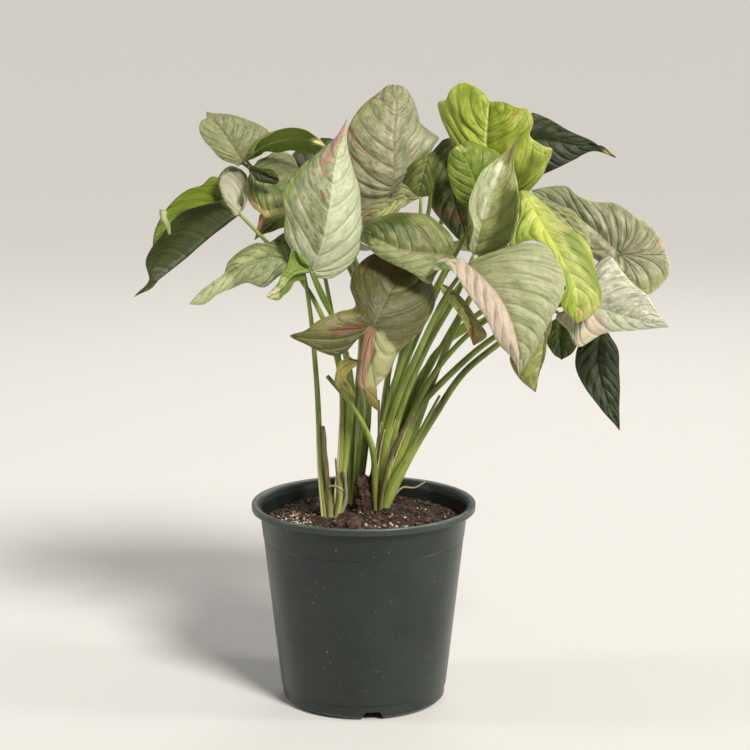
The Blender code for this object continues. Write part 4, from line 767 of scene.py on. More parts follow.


# Leaves that sit in the shade of others, the dark ones inside and at the back, have colours that are partly their own
# darker green and partly painted shade, and so does the underside of the far left leaf.
LOOKS = {
    "blade_far_left": look("404a19 728612 364212 2b330e 84583e 515e22 707835 303910",
        (0.5, 0.15, 0.3, 0, 0.2, 0.7, 10, 3), ((-94, -8, 374), (-85, -10, 357), 9, 4, 0.3, "b9b69c", 0.9),
        ((-87, -7, 376), (-83, -7, 368), 6, 3, 0.3, "b5b398", 0.8),
        ((-95, -9, 375), (-87, -10, 357), 1.2, 0.8, 0.2, "504526", 0.8),
        ((-90, -8, 381), (-85, -9, 358), 1.2, 0.8, 0.2, "534729", 0.8),
        ((-85, -9, 381), (-84, -8, 361), 1.2, 0.8, 0.2, "544829", 0.7),
        ((-81, -11, 375), (-81, -11, 366), 1.6, 1, 0.3, "563d20", 0.8)),
    "blade_upper_left": look("939667 94956e 7c8450 38441b 90634d a19c78 a1a270 5e6a34",
        (0.3, 0.4, 0.1, 0.12, 0.16, 1, 8, 10)),
    "blade_arched": look("97ae46 96a13e 6f8331 495923 e59a81 aabc58 b7c858 6f812f",
        (0.6, 0.6, 0.3, 0, 0.08, 0.6, 7, 17), ((-30, -4, 400), (-30, -4, 400), 7, 3, 0.9, "ece49d", 0.9)),
    "blade_left_inner": look("77784c 949a57 717a3c 414e1f b27a57 83884d c6c67f 75823c",
        (0.35, 0.5, 0.3, 0.15, 0.06, 1, 8, 24), ((-77, -3, 367), (-53, 4, 368), 6, 4, 0.5, "4f6025", 0.8),
        ((-78, -1, 358), (-68, -4, 351), 3.2, 1.5, 0.3, "d6bf81", 0.9),
        ((-68, -4, 351), (-51, -3, 354), 3.4, 1.8, 0.3, "cdc37f", 0.9),
        ((-80, -2, 363), (-78, -1, 359), 1.8, 1.2, 0.4, "b77050", 0.7)),
    "blade_left_behind": look("625922 94a951 586c2a 525c2a ca866b e1d6a1 e1d89b 868e4b",
        (0.6, 0.6, 0.3, 0, 0.05, 1, 6, 31), ((-72, 38, 343), (-76, 37, 335), 2.6, 1.5, 0.3, "eba485", 0.9),
        ((-77, 37, 333), (-78, 36, 329), 2, 1.5, 0.3, "baba83", 0.8)),
    "blade_front_left": look("b1b58e b9bf9d 76854f 4e5631 b27c6a c1be9f b7ba8e 6c7a44",
        (0.42, 0.05, 0.8, 0.22, 0.1, 1.1, 9, 38), ((-12, -27, 414), (-26, -36, 390), 5, 4, 0.9, "a67e72", 0.8),
        ((-11, -24, 418), (-15, -29, 408), 3, 2, 0.3, "b98f78", 0.7),
        ((-28, -34, 391), (-25, -41, 382), 3.4, 3, 0.9, "b0826c", 0.7),
        ((-42, -30, 384), (-53, -34, 364), 5, 4, 0.5, "808f3b", 0.8),
        ((-53, -34, 364), (-53, -37, 345), 3, 2.5, 0.5, "8f9d4c", 0.6),
        ((-41, -38, 375), (-37, -41, 368), 1.3, 0.8, 0.4, "636b39", 0.75),
        ((-50, -29, 376), (-45, -38, 366), 1.8, 1, 0.4, "717c3b", 0.7),
        ((-34, -37, 383), (-31, -40, 378), 2, 1.2, 0.4, "a4654d", 0.75),
        ((-28, -44, 371), (-26, -46, 365), 1.7, 1, 0.4, "915d46", 0.75),
        ((-12, -39, 371), (-8, -34, 373), 1.7, 1, 0.4, "bd8172", 0.8),
        ((-43, -41, 357), (-33, -45, 354), 6, 5, 1.2, "6b7442", 0.35),
        ((-42, -42, 339), (-39, -39, 325), 9, 6, 0.8, "babba1", 0.5)),
    "blade_low_left": look("91996b 959f68 677538 37441b 8e644c 9fa374 9fa46f 5d6b34",
        (0.25, 0.5, 0.35, 0, 0.12, 1, 9, 45), ((-116, -52, 295), (-95, -46, 309), 9, 5, 0.5, "aab082", 0.75),
        ((-84, -37, 322), (-69, -30, 328), 5, 4, 0.8, "a8ae7b", 0.5),
        ((-69, -37, 307), (-63, -32, 307), 3, 2, 0.8, "6a5435", 0.5)),
    "blade_low_left_curl": look("849535 55661d 586e22 3b4423 96645e a7a38e a7a488 677e29",
        (0.3, 0.3, 0.3, 0, 0.08, 1, 6, 52), ((-62, -57, 304), (-62, -57, 304), 8, 5, 0.9, "c0be98", 0.85),
        ((-54, -54, 310), (-54, -54, 310), 5, 4, 0.9, "b6b784", 0.6)),
    "blade_top_centre": look("a4a580 a1a483 77814e 544b2e 825141 9a7a64 b4b78c 6a7843",
        (0.42, 0.32, 0.4, 0.95, 0.12, 1.5, 10, 59), ((-8, 6, 367), (14, 4, 356), 8, 6, 0.8, "5d592f", 0.75),
        ((24, 4, 360), (31, 4, 371), 6, 4, 0.8, "635334", 0.6),
        ((-8, 16, 411), (6, 25, 429), 6, 4, 0.8, "8c8d4e", 0.5),
        ((19, 4, 358), (23, 12, 415), 1, 0.6, 0.1, "6c4635", 0.75),
        ((-9, 16, 409), (-2, 9, 399), 1.8, 1.2, 0.8, "7d4a39", 0.75),
        ((7, 25, 429), (20, 18, 426), 1.8, 1.2, 0.8, "7f523d", 0.7),
        ((-8, 10, 389), (2, 5, 385), 1.6, 1, 0.8, "855441", 0.7),
        ((9, 3, 386), (17, 3, 381), 1.6, 1, 0.8, "7f503d", 0.7),
        ((-12, 11, 383), (-8, 6, 362), 4, 3, 0.8, "6a6337", 0.5),
        ((35, 11, 408), (46, 9, 397), 7, 5, 0.8, "adac8a", 0.5)),
    "blade_centre_pale": look("adb074 888858 717939 36421b 8b614b 9b9d72 9b9f6e 5b6733",
        (0.3, 0.2, 0.3, 0.3, 0.08, 1, 7, 66), ((2, -20, 352), (2, -20, 352), 8, 6, 0.9, "7e6642", 0.6),
        ((14, -20, 354), (14, -20, 354), 6, 4, 0.9, "a4ae63", 0.5)),
    "blade_lime_top": look("a2af34 98a52a 7d9222 5f6720 9c6d31 bcc263 c6c281 8a992d",
        (0.4, 0.45, 0.2, 0.25, 0.16, 1.9, 10, 73), ((102, 6, 418), (111, 10, 422), 2.4, 2, 0.9, "9f7833", 0.6),
        ((99, 6, 412), (110, 8, 416), 1.4, 1, 0.8, "9b7a33", 0.5),
        ((101, 15, 376), (119, 13, 386), 9, 7, 0.6, "657021", 0.85),
        ((110, 18, 367), (115, 16, 377), 8, 6, 0.6, "676923", 0.85),
        ((127, 15, 392), (116, 23, 363), 1.4, 0.8, 0.3, "824a21", 0.85),
        ((86, 4, 427), (85, 9, 398), 1.8, 1.2, 0.3, "cbc88e", 0.55),
        # Painted shadow beside the crease.
        ((89, 8, 424), (89, 10, 394), 4, 3, 0.4, "6d821a", 0.7),
        ((66, 3, 432), (76, 0, 435), 6, 4, 0.6, "768c26", 0.6), ((60, 9, 408), (74, 4, 402), 5, 4, 0.8, "7c9028", 0.5),
        ((84, 6, 434), (86, 5, 429), 2, 1.2, 0.3, "d1c2a3", 0.7)),
    "blade_dark_top_right": look("414b19 313a1b 293311 1a210b 84593e 475023 595f2f 303915",
        (0.7, 0.7, 0.1, 0, 0.12, 0.7, 9, 80), ((176, 45, 389), (176, 45, 389), 6, 4, 0.9, "9f9453", 0.85)),
    "blade_lime_inner": look("73841b 849723 5c7016 465312 b1764c 97a532 b5b850 758420",
        (0.45, 0.5, 0.3, 0, 0.12, 1.2, 7, 87), ((65, -11, 398), (69, -12, 396), 2.6, 1.6, 0.5, "aeb166", 0.85),
        ((80, -12, 386), (85, -9, 368), 6, 4, 0.6, "5d721c", 0.65),
        ((61, -13, 386), (65, -13, 365), 3, 2, 0.6, "808f27", 0.5)),
    "blade_upright_right": look("b9bf95 989c5e 778343 515129 a37357 a3a773 b6bc7f 6b7b3c",
        # The next two blotches are painted shade on the lower right half.
        (0.3, 0.4, 0.35, 0.25, 0.06, 0.9, 5, 94), ((101, -42, 365), (95, -36, 338), 9.5, 5, 0.6, "535c22", 0.95),
        ((93, -35, 337), (85, -30, 326), 7.5, 4, 0.6, "4c531f", 0.95),
        ((104, -41, 374), (104, -38, 344), 1.6, 1, 0.3, "6f8126", 0.7),
        ((106, -27, 406), (98, -33, 393), 6, 4, 0.6, "7a7236", 0.75),
        # Painted highlight: a pale streak on the left half.
        ((93, -36, 388), (82, -39, 354), 4, 3, 0.6, "d1d4b8", 0.6),
        ((78, -43, 368), (79, -41, 359), 2, 1.6, 0.9, "ad9073", 0.5),
        ((98, -34, 391), (88, -40, 361), 1, 0.7, 0.5, "6d7036", 0.6)),
    "blade_lime_hanging": look("adb45f 9cb032 8a9e36 727c31 b37c81 c1c778 bdc170 99a647",
        (0.3, 0.5, 0, 0, 0.18, 1.2, 10, 101), ((142, -26, 339), (160, -33, 305), 6.5, 2.5, 0.3, "71802a", 0.85),
        ((160, -33, 305), (164, -34, 296), 4, 2, 0.3, "76832f", 0.8),
        ((148, -41, 287), (154, -40, 290), 3.6, 3.2, 0.7, "c29569", 0.7),
        ((115, -16, 359), (133, -41, 322), 8, 5, 0.8, "ced165", 0.5),
        ((133, -22, 346), (139, -25, 341), 3, 2, 0.8, "b8a773", 0.5),
        ((141, -37, 318), (148, -40, 296), 5, 4, 0.8, "bec070", 0.5)),
    "blade_olive_behind": look("aaa46f 999368 7b814c 5b6f38 cb987b ededce ededb9 94aa61",
        (0.5, 0.4, 0.3, 0.7, 0.1, 1, 8, 108)),
    "blade_right": look("a7a585 a9a988 7f865c 565738 ba8273 b4aa8c c8c99f 77844d",
        (0.35, 0.45, 0.35, 0.35, 0.12, 1.3, 10, 115), ((173, 10, 335), (174, 9, 329), 2, 1.6, 0.7, "ae8273", 0.7),
        ((209, 6, 333), (209, 4, 328), 2.6, 2, 0.7, "b48678", 0.75),
        ((187, 6, 331), (190, 4, 322), 2, 1.5, 0.8, "b08e7c", 0.5),
        ((131, 25, 360), (154, 17, 354), 8, 6, 0.6, "6e744c", 0.6),
        # The next two blotches are painted shade in the slit at the base of the blade.
        ((162, 9, 319), (180, 7, 320), 3, 2, 0.4, "5d5e38", 0.6),
        ((180, 8, 324), (179, 4, 316), 1, 0.6, 0.2, "48432a", 0.8),
        ((194, -4, 299), (211, -1, 307), 5, 3, 0.5, "818347", 0.7),
        ((167, 17, 356), (186, 12, 349), 3, 2, 0.6, "7b7e56", 0.5),
        ((197, 1, 317), (194, 3, 323), 1.6, 1.2, 0.8, "a98370", 0.5)),
    "blade_pale_right": look("d8d4c4 b6bb9f 919a73 6f7555 d1a29a d1d4b6 d1d6af 7c8d55",
        (0.4, 0.25, 0.3, 0.35, 0.12, 1.4, 10, 122), ((138, -19, 280), (164, -22, 278), 7, 4, 0.8, "c1a694", 0.6),
        ((149, -25, 266), (166, -23, 272), 5, 3, 0.8, "c1a28e", 0.55),
        ((157, -9, 309), (164, -17, 293), 5, 4, 0.8, "dcd6cc", 0.5)),
    "blade_dark_low": look("4d5615 688232 475b1f 2f3d15 d28d66 6c7f35 909d44 8b9646",
        (0.6, 0.6, 0.3, 0, 0.06, 1, 6, 129)),
    "blade_dark_hanging": look("2c3816 354516 253110 1a220b 83583e 3f4b1f 565e2b 565e2a",
        (0.6, 0.6, 0.3, 0, 0.08, 1, 8, 136)),
    "blade_front_right": look("a4a67e c0ad9c 85905c 616b40 ba8e80 bbc19b b6ba8a 658234",
        (0.3, 0, 0.15, 0.15, 0.22, 1.7, 11, 143), ((72, -65, 312), (98, -71, 270), 3.6, 3, 0.8, "b79085", 0.5),
        ((52, -59, 323), (57, -62, 320), 4, 2, 0.3, "56732e", 0.9),
        ((60, -58, 325), (72, -64, 313), 4, 3, 0.6, "bba892", 0.5),
        ((78, -49, 323), (113, -51, 332), 5, 4, 0.8, "939861", 0.5),
        ((104, -67, 280), (115, -65, 300), 8, 6, 0.8, "89925b", 0.4)),
    "blade_behind_front_right": look("746b32 8d9243 6f7832 465029 976548 c5bba0 c5bd9a 757c4a",
        (0.4, 0.4, 0.3, 0.35, 0.14, 1, 7, 150)),
    "blade_centre": look("8a935f 81874d 5f6b30 434b1e 8b6746 918759 a7ab6f 627033",
        (0.4, 0.5, 0.5, 0.3, 0.12, 1.3, 9, 157), ((2, -37, 342), (28, -33, 350), 7.5, 4, 0.5, "425119", 0.88),
        ((14, -41, 338), (41, -40, 337), 3.6, 3, 0.5, "535f26", 0.6),
        ((15, -44, 331), (45, -48, 319), 8, 5, 0.6, "989e6f", 0.5),
        ((28, -46, 329), (57, -40, 325), 2.6, 2.2, 0.5, "998663", 0.6),
        ((35, -31, 351), (58, -34, 337), 7, 5, 0.8, "999d5d", 0.5),
        ((21, -31, 353), (36, -30, 352), 2.4, 1.6, 0.5, "62512a", 0.6),
        ((41, -37, 343), (46, -40, 335), 2, 1.6, 0.8, "725131", 0.6)),
    "blade_low_centre": look("575323 5d5b28 4a4a1b 3b3815 6b4427 716c36 99935f 555523",
        (0.5, 0.5, 0.15, 0.4, 0.14, 0.9, 10, 164), ((-18, -70, 279), (-1, -61, 282), 3.6, 2.6, 0.8, "6b4027", 0.85),
        ((-30, -71, 283), (-9, -61, 290), 7, 4, 0.6, "78733e", 0.6),
        ((-39, -75, 274), (-27, -73, 277), 8, 4, 0.6, "696831", 0.5),
        ((11, -60, 273), (15, -63, 264), 6, 2.5, 0.12, "949264", 0.9),
        ((16, -63, 264), (7, -69, 244), 8, 3, 0.12, "919061", 0.9),
        ((15, -60, 272), (20, -64, 255), 1, 0.7, 0.3, "646835", 0.5),
        ((11, -63, 265), (10, -67, 248), 0.8, 0.6, 0.3, "646835", 0.5),
        ((5, -59, 277), (2, -66, 262), 5.4, 3, 0.2, "8f6b50", 0.92),
        ((2, -66, 262), (-1, -70, 243), 4.2, 3, 0.2, "8a6b4f", 0.92),
        ((5, -70, 238), (10, -70, 227), 4.5, 2, 0.4, "746529", 0.85),
        ((9, -60, 274), (1, -70, 243), 0.7, 0.5, 0.1, "5c6029", 0.7),
        ((5, -23, 324), (-1, -34, 315), 2.6, 2, 0.7, "825d3e", 0.6),
        ((15, -30, 318), (25, -26, 320), 8, 5, 0.8, "664d27", 0.55),
        ((25, -40, 303), (42, -38, 296), 8, 6, 0.8, "575725", 0.4)),
    "blade_narrow_curl": look("98904e eded94 9b9d46 4f5d2d c58774 dbd8ad dbdaa7 829051",
        (0.3, 0.3, 0.3, 0, 0.06, 1, 6, 171), ((74, -38, 275), (76, -38, 266), 2.5, 1.5, 0.4, "a26f40", 0.85)),
    "blade_withered": look("e5cf64 9c9947 a6a141 516025 855929 dfdd92 dfd679 859343",
        (0.3, 0.3, 0.3, 0.5, 0.05, 1, 5, 178), ((-18, -45, 251), (-19, -44, 240), 1.4, 0.8, 0.4, "7d5628", 0.7),
        ((-9, -42, 255), (-4, -35, 251), 1.2, 0.8, 0.4, "7f582a", 0.7)),
    "blade_left_back": look("303917 515b23 293314 343b18 865745 968d69 968f65 585d2e",
        (0.6, 0.6, 0.3, 0, 0.06, 1, 7, 185)),
    "blade_green_inner": look("56661b 7d8436 525e21 39401a a86a62 bbac93 aca367 6e7143",
        (0.5, 0.5, 0.3, 0, 0.06, 1, 6, 192), ((30, 0, 366), (34, -2, 384), 4, 2.5, 0.5, "4a5324", 0.8),
        ((46, -2, 388), (46, -1, 364), 3.5, 2.5, 0.5, "77782a", 0.7)),
    "blade_dark_inner": look("7a8229 727d40 5b6a32 3e4623 eaa482 87914f ededba 9cae5b",
        (0.6, 0.6, 0.3, 0, 0.06, 1, 9, 199), ((52, 9, 351), (69, 9, 348), 6.5, 5, 0.7, "8c6543", 0.75),
        ((70, 3, 333), (70, 2, 328), 4, 2.5, 0.5, "c2bd67", 0.7)),
    "blade_back_left": look("978c5d 9d8f64 6d7038 42461d a66650 b9a57a b9a775 6d6d37",
        (0.5, 0.35, 0.4, 0.2, 0.14, 1, 9, 206)),
    "blade_back_centre": look("929c64 9aa070 687a3e 465428 b07a68 c4c49c c4c696 748248",
        (0.6, 0.5, 0.3, 0.1, 0.14, 1, 9, 213)),
    "blade_back_right": look("a8aa82 9ea476 6e8046 465428 b07a68 c4c49c c4c696 748248",
        (0.4, 0.55, 0.4, 0.3, 0.14, 1, 9, 220)),
    "blade_small_lobe": look("4d5716 364316 323c10 232a0c 82543e 505a22 5f6628 555a2a",
        (0.5, 0.5, 0, 0, 0.05, 0.6, 5, 227)),
}

print(len(LOOKS), "leaf finishes")

# %% [markdown]
# ## Blades
# A blade's surface is a function of two numbers: how far along it a row is, and how far from the
# midrib towards the edge a point is.  Each row starts on the midrib and ends further forward on the
# edge, so that rows follow the side veins.  On top of the loft come the arch of each half, the wave
# of the edge, the quilting between the side veins and the furrow over the midrib.  The surface is
# moved half a thickness both ways, and the rim is closed.

# %% Blade surface
ROWS = 90
STEPS = 20
THICK = 0.55
VEIN_SWEEP = 0.55
QUILT = 1.3


def rib_share(edge, rib):
    """Share along the midrib at which the side vein to each edge point starts: the nearest point,
    moved back by VEIN_SWEEP of the distance."""
    steps = np.linspace(0.0, 1.0, len(rib))
    length = np.linalg.norm(np.diff(rib, axis=0), axis=1).sum()
    gap = np.linalg.norm(edge[:, None, :] - rib[None, :, :], axis=2)
    share = steps[gap.argmin(axis=1)] - VEIN_SWEEP * gap.min(axis=1) / length
    return np.maximum.accumulate(np.clip(share, 0.0, 1.0))


def blade_grid(keys, veins, seed, quilted):
    """Points (row, column, xyz) of the middle surface, with v per row and signed u per column."""
    v = np.linspace(0.0, 1.0, ROWS + 1)
    rib = spline(keys["rib"], np.linspace(0.0, 1.0, 241))
    edges = [spline(list(keys[side]) + [keys["rib"][-1]], v) for side in ("left", "right")]
    share = smooth_rows((rib_share(edges[0], rib) + rib_share(edges[1], rib)) / 2, 3)
    share = (share - share[0]) / (share[-1] - share[0])
    root = np.stack([np.interp(share * 240, np.arange(241), rib[:, axis]) for axis in range(3)], axis=1)
    s = np.linspace(0.0, 1.0, STEPS + 1) ** 1.25
    size = np.linalg.norm(rib[-1] - rib[0])
    halves = []
    for side, edge, bulge in zip((1, -1), edges, keys["bulge"]):
        reach = edge - root
        up = unit(smooth_rows(unit(np.cross(np.gradient(edge, axis=0), reach) * side), 3))
        up[-1] = up[-2]
        width = np.linalg.norm(reach, axis=1)[:, None]
        arch = bulge * 4 * s * (1 - s) * width
        wave = keys["wave"] * np.sin(v * keys["rows"] * 1.9 + len(keys["left"]))[:, None] * s**2
        line = v[:, None] * veins - 1.3 * s**2
        window = np.sin(math.pi * np.minimum(s * 1.04, 1.0)) ** 0.6 * np.sin(math.pi * v[:, None] ** 0.8) ** 0.5
        pillow = np.abs(np.sin(math.pi * line)) ** 0.7 - 0.5 + 0.16 * np.sin(math.tau * (2 * line + s))
        lumps = 0.45 * np.sin(9 * s + 13 * v[:, None] + seed) * np.sin(17 * v[:, None] - 5 * s + 2 * seed)
        quilt = QUILT * quilted * min(1.0, size / 80) * (pillow + lumps) * window
        drift = 0.6 * np.sin(5.0 * s + 7.0 * v[:, None] + seed) * s * np.sin(math.pi * v[:, None])
        furrow = -0.35 * np.exp(-(s * width / 1.1) ** 2)
        lift = arch + wave + quilt + drift + furrow
        halves.append(root[:, None] + s[None, :, None] * reach[:, None] + up[:, None] * lift[:, :, None])
    grid = np.concatenate([halves[0][:, ::-1], halves[1][:, 1:]], axis=1)
    grid[:, STEPS] = (halves[0][:, 0] + halves[1][:, 0]) / 2
    return grid, v, np.r_[-s[::-1], s[1:]]


def make_blade(name, keys, look):
    """Closed blade: upper and lower surface, rim, and a raised midrib underneath."""
    grid, v, u = blade_grid(keys, look["Veins"], look["Seed"], look["Quilt"])
    rows, columns = grid.shape[:2]
    normal = unit(np.cross(np.gradient(grid, axis=1), np.gradient(grid, axis=0)))
    normal[-1] = unit(normal[-2].mean(axis=0))
    half = THICK / 2 * (1.0 - 0.6 * np.abs(u) ** 10)[None, :, None] * np.ones((rows, 1, 1))
    wide = np.linalg.norm(grid[:, -1] - grid[:, STEPS], axis=1)[:, None] + 1e-6
    raised = 1.0 * (1 - v[:, None]) ** 0.7 * np.exp(-(np.abs(u) * wide / 1.0) ** 2)
    top = (grid + normal * half).reshape(-1, 3)
    low = (grid - normal * (half + raised[:, :, None])).reshape(-1, 3)
    quads = grid_faces(rows, columns)
    count = rows * columns
    index = np.arange(count).reshape(rows, columns)
    rim = np.r_[index[0, :], index[1:, -1], index[-1, -2::-1], index[-2:0:-1, 0]]
    after = np.roll(rim, -1)
    sides = np.stack([after, rim, rim + count, after + count], axis=1)
    faces = np.vstack([quads, quads[:, ::-1] + count, sides])
    uv = np.stack([np.tile(0.5 + 0.5 * u, rows), np.repeat(v, columns)], axis=1)
    return add_piece("leaf_" + name[6:], np.vstack([top, low]), faces, leaf_material("leaf_" + name[6:], look),
                     np.vstack([uv, uv]), {"under": np.r_[np.zeros(count), np.ones(count)]}, (name,) if name in frame["nodes"] else (),
                     merge=1e-4)


leaves = [make_blade(name, keys, LOOKS[name]) for name, keys in BLADES.items()]
print(len(leaves), "blades,", sum(len(leaf.data.polygons) for leaf in leaves), "faces")

# %% [markdown]
# ## Stalks
# A leaf stalk is round and smooth.  Towards the crown it widens into a sheath, a pale gutter that
# holds the younger stalks.  Each is a section carried along its curve: the radius shrinks towards the
# blade, and a groove opens where the sheath begins.

# %% Tubes along curves
STALK_ROWS = 56
STALK_SIDES = 14
STALK_TIP = 1.05
SHEATH_SHARE = 0.36


def tube(path, radii, sides, groove=0.0, facing=0.0, spread=0.5):
    """Points, faces and map of a tube: radius around the path, cut in by a bell-shaped groove on the
    side that faces the given turn.  Ends are closed by a point."""
    ahead = unit(np.gradient(path, axis=0))
    across = unit(np.cross(ahead, (0.0, 1.0, 0.0)))
    other = np.cross(ahead, across)
    turn = math.tau * np.arange(sides) / sides
    bell = np.exp(-(np.angle(np.exp(1j * (turn - facing))) / spread) ** 2)
    radius = np.asarray(radii)[:, None] * (1.0 - np.asarray(groove).reshape(-1, 1) * bell)
    ring = np.cos(turn)[None, :, None] * across[:, None] + np.sin(turn)[None, :, None] * other[:, None]
    body = (path[:, None] + radius[:, :, None] * ring).reshape(-1, 3)
    count = len(body)
    points = np.vstack([body, path[:1], path[-1:]])
    faces = [tuple(f) for f in grid_faces(len(path), sides, True)]
    first = np.arange(sides)
    last = first + count - sides
    faces += [(count, b, a) for a, b in zip(first, np.roll(first, -1))]
    faces += [(count + 1, a, b) for a, b in zip(last, np.roll(last, -1))]
    share = np.linspace(0.0, 1.0, len(path))
    uv = np.stack([np.tile(np.arange(sides) / sides, len(path)), np.repeat(share, sides)], axis=1)
    return points, faces, np.vstack([uv, [(0.5, 0.0), (0.5, 1.0)]])


def join(tubes):
    """One set of points, faces and map from several tubes."""
    start = np.cumsum([0] + [len(points) for points, _, _ in tubes])
    faces = [tuple(int(i) + int(base) for i in face) for base, (_, part, _) in zip(start, tubes) for face in part]
    return np.vstack([t[0] for t in tubes]), faces, np.vstack([t[2] for t in tubes])


def crown_start(crown, radius, towards):
    """Point inside a crown, on the side to which a stalk leans."""
    x, y, plug = CROWNS[crown]
    lean = np.array(towards[:2], float) - (x, y)
    lean *= min(1.0, (plug - radius - 1.5) / (np.linalg.norm(lean) + 1e-9))
    return (x + lean[0], y + lean[1], SOIL_LEVEL - 2.0)


def stalk(crown, radius, sheath, keys, base):
    """Leaf stalk from its crown to the base of its blade."""
    share = np.linspace(0.0, 1.0, STALK_ROWS)
    path = spline([crown_start(crown, radius + sheath, keys[0])] + list(keys) + [base], share)
    radii = STALK_TIP + (radius - STALK_TIP) * (1.0 - share) ** 0.6
    hold = np.clip(1.0 - share / SHEATH_SHARE, 0.0, 1.0)
    radii = radii + sheath * hold**0.8
    return tube(path, radii, STALK_SIDES, 0.28 * np.clip(hold * 3, 0, 1) * (sheath > 0.5), keys[0][0] * 0.7)


print("tube of a first stalk:", len(stalk(*STALKS["blade_centre"], BLADES["blade_centre"]["rib"][0])[0]), "points")

# %% [markdown]
# The stalks are a fresh yellow green with fine lengthwise fibres, paler towards the sheath, and no two
# have quite the same green.  Cut ends and old sheaths are dry, straw and purple brown.  Both finishes
# are one recipe with other colours: fibres, blotches and marks are noise drawn out along Z.

# %% Stalk finishes
STALK_FRESH = ((0.185, 0.245, 0.032, 1), (0.30, 0.34, 0.080, 1), (0.34, 0.40, 0.090, 1), (0.075, 0.110, 0.012, 1))
STALK_DRY = ((0.125, 0.090, 0.040, 1), (0.28, 0.25, 0.085, 1), (0.34, 0.29, 0.13, 1), (0.055, 0.030, 0.020, 1))
STALK_RIM = ((0.50, 0.44, 0.27, 1), (0.58, 0.48, 0.33, 1), (0.66, 0.60, 0.40, 1), (0.24, 0.16, 0.08, 1))
STALK_PALE = ((0.24, 0.21, 0.13, 1), (0.27, 0.25, 0.14, 1), (0.38, 0.34, 0.24, 1), (0.10, 0.07, 0.04, 1))


def stalk_material(name, colours, marks):
    """Body colour, another near the crown, a fibre colour and a blotch colour; marks is the share of
    brown spots."""
    body, low, light, deep = colours
    paint, tree, shader = new_material(name, 0.40)
    place = put(tree, "ShaderNodeUVMap", uv_map="leaf")
    parts = tree.nodes.new("ShaderNodeSeparateXYZ")
    tree.links.new(place, parts.inputs[0])
    spot = put(tree, "ShaderNodeTexCoord", output=3)
    long_map = put(tree, "ShaderNodeMapping", {"Vector": spot, "Scale": (1.0, 1.0, 0.07)})
    fibre = noise(tree, long_map, 700.0, 3.0, 0.6)
    blotch = noise(tree, long_map, 120.0, 3.0, 0.6)
    drift = noise(tree, long_map, 45.0, 2.0, 0.5)
    near_crown = step_up(tree, parts.outputs[1], 0.45, 0.03)
    colour = blend(tree, near_crown, body, low)
    for mask, strength, tint in ((step_up(tree, fibre, 0.35, 0.75), 0.55, light), (step_up(tree, drift, 0.48, 0.66), 0.65, deep),
                                 (step_up(tree, blotch, 0.54, 0.70), 0.60, deep)):
        colour = blend(tree, calc(tree, "MULTIPLY", mask, strength), colour, tint)
    brown = step_up(tree, noise(tree, spot, 110.0, 4.0, 0.7), 0.80 - marks, 0.87 - marks)
    colour = blend(tree, calc(tree, "MULTIPLY", brown, 0.65), colour, (0.12, 0.06, 0.03, 1))
    tree.links.new(colour, shader.inputs["Base Color"])
    bump = put(tree, "ShaderNodeBump", {"Strength": 0.35, "Distance": 0.0004, "Height": fibre})
    tree.links.new(bump, shader.inputs["Normal"])
    shader.inputs["Subsurface Weight"].default_value = 0.15
    shader.inputs["Subsurface Radius"].default_value = (0.8, 1.0, 0.3)
    shader.inputs["Subsurface Scale"].default_value = 0.002
    return paint


STALK_GREEN = stalk_material("stalk_green", STALK_FRESH, 0.10)
SHEATH_DRY = stalk_material("sheath_dry", STALK_DRY, 0.16)
ROOT_PALE = stalk_material("root_pale", STALK_PALE, 0.12)

# %% Stalks, one piece for each crown
def crown_plug(crown):
    """Swollen stem base at the soil, a short tube with a rounded top."""
    x, y, radius = CROWNS[crown]
    heights = SOIL_LEVEL + np.array([-13.0, -4.0, 0.0, 1.2, 2.2, 3.0])
    path = np.stack([np.full(6, x), np.full(6, y), heights], axis=1)
    return tube(path, radius * np.array([0.9, 0.92, 0.9, 0.8, 0.6, 0.3]), 28)


def make_crown(crown):
    """All fresh stalks and stubs that grow from a crown, as one piece."""
    tubes = [crown_plug(crown)]
    tubes += [stalk(*row, BLADES[name]["rib"][0]) for name, row in STALKS.items() if row[0] == crown]
    tubes += [stub(*row[1:]) for row in STUBS if row[:2] == ("cut", crown)]
    sheath_edges.extend(sheath_edge(*row, BLADES[name]["rib"][0]) for name, row in STALKS.items()
                        if row[0] == crown and row[2] > 0.9)
    points, faces, uv = join(tubes)
    return add_piece(crown.replace("crown", "stalks"), points, faces, STALK_GREEN, uv, None, (crown,))


def stub(crown, first, last, keys, groove=0.0, waver=0.0):
    """Stub, sheath or root along its keys; a groove opens it into a gutter, waver ripples its edge."""
    share = np.linspace(0.0, 1.0, 30)
    path = spline([crown_start(crown, first, keys[0])] + list(keys), share)
    radii = (first + (last - first) * share) * (1.0 + waver * np.sin(share * 23.0) * share)
    return tube(path, radii, 16, groove, keys[0][0], 0.9)


def sheath_edge(crown, radius, sheath, keys, base):
    """Thin dry rim of a sheath: a small tube up the front left of the lower part of its stalk."""
    share = np.linspace(0.0, SHEATH_SHARE * (0.9 + 0.12 * math.sin(keys[0][0])), 40)
    path = spline([crown_start(crown, radius + sheath, keys[0])] + list(keys) + [base], share)
    hold = np.clip(1.0 - share / SHEATH_SHARE, 0.0, 1.0)
    wide = STALK_TIP + (radius - STALK_TIP) * (1.0 - share) ** 0.6 + sheath * hold**0.8
    away = unit(np.cross(unit(np.gradient(path, axis=0)), (0.0, 1.0, 0.0)))
    away *= -np.sign(away[:, :1] + 1e-9)
    path = path + away * (wide * 0.72)[:, None] - (wide * 0.80)[:, None] * (0.0, 1.0, 0.0)
    return tube(path, 0.35 + 0.45 * hold, 8)


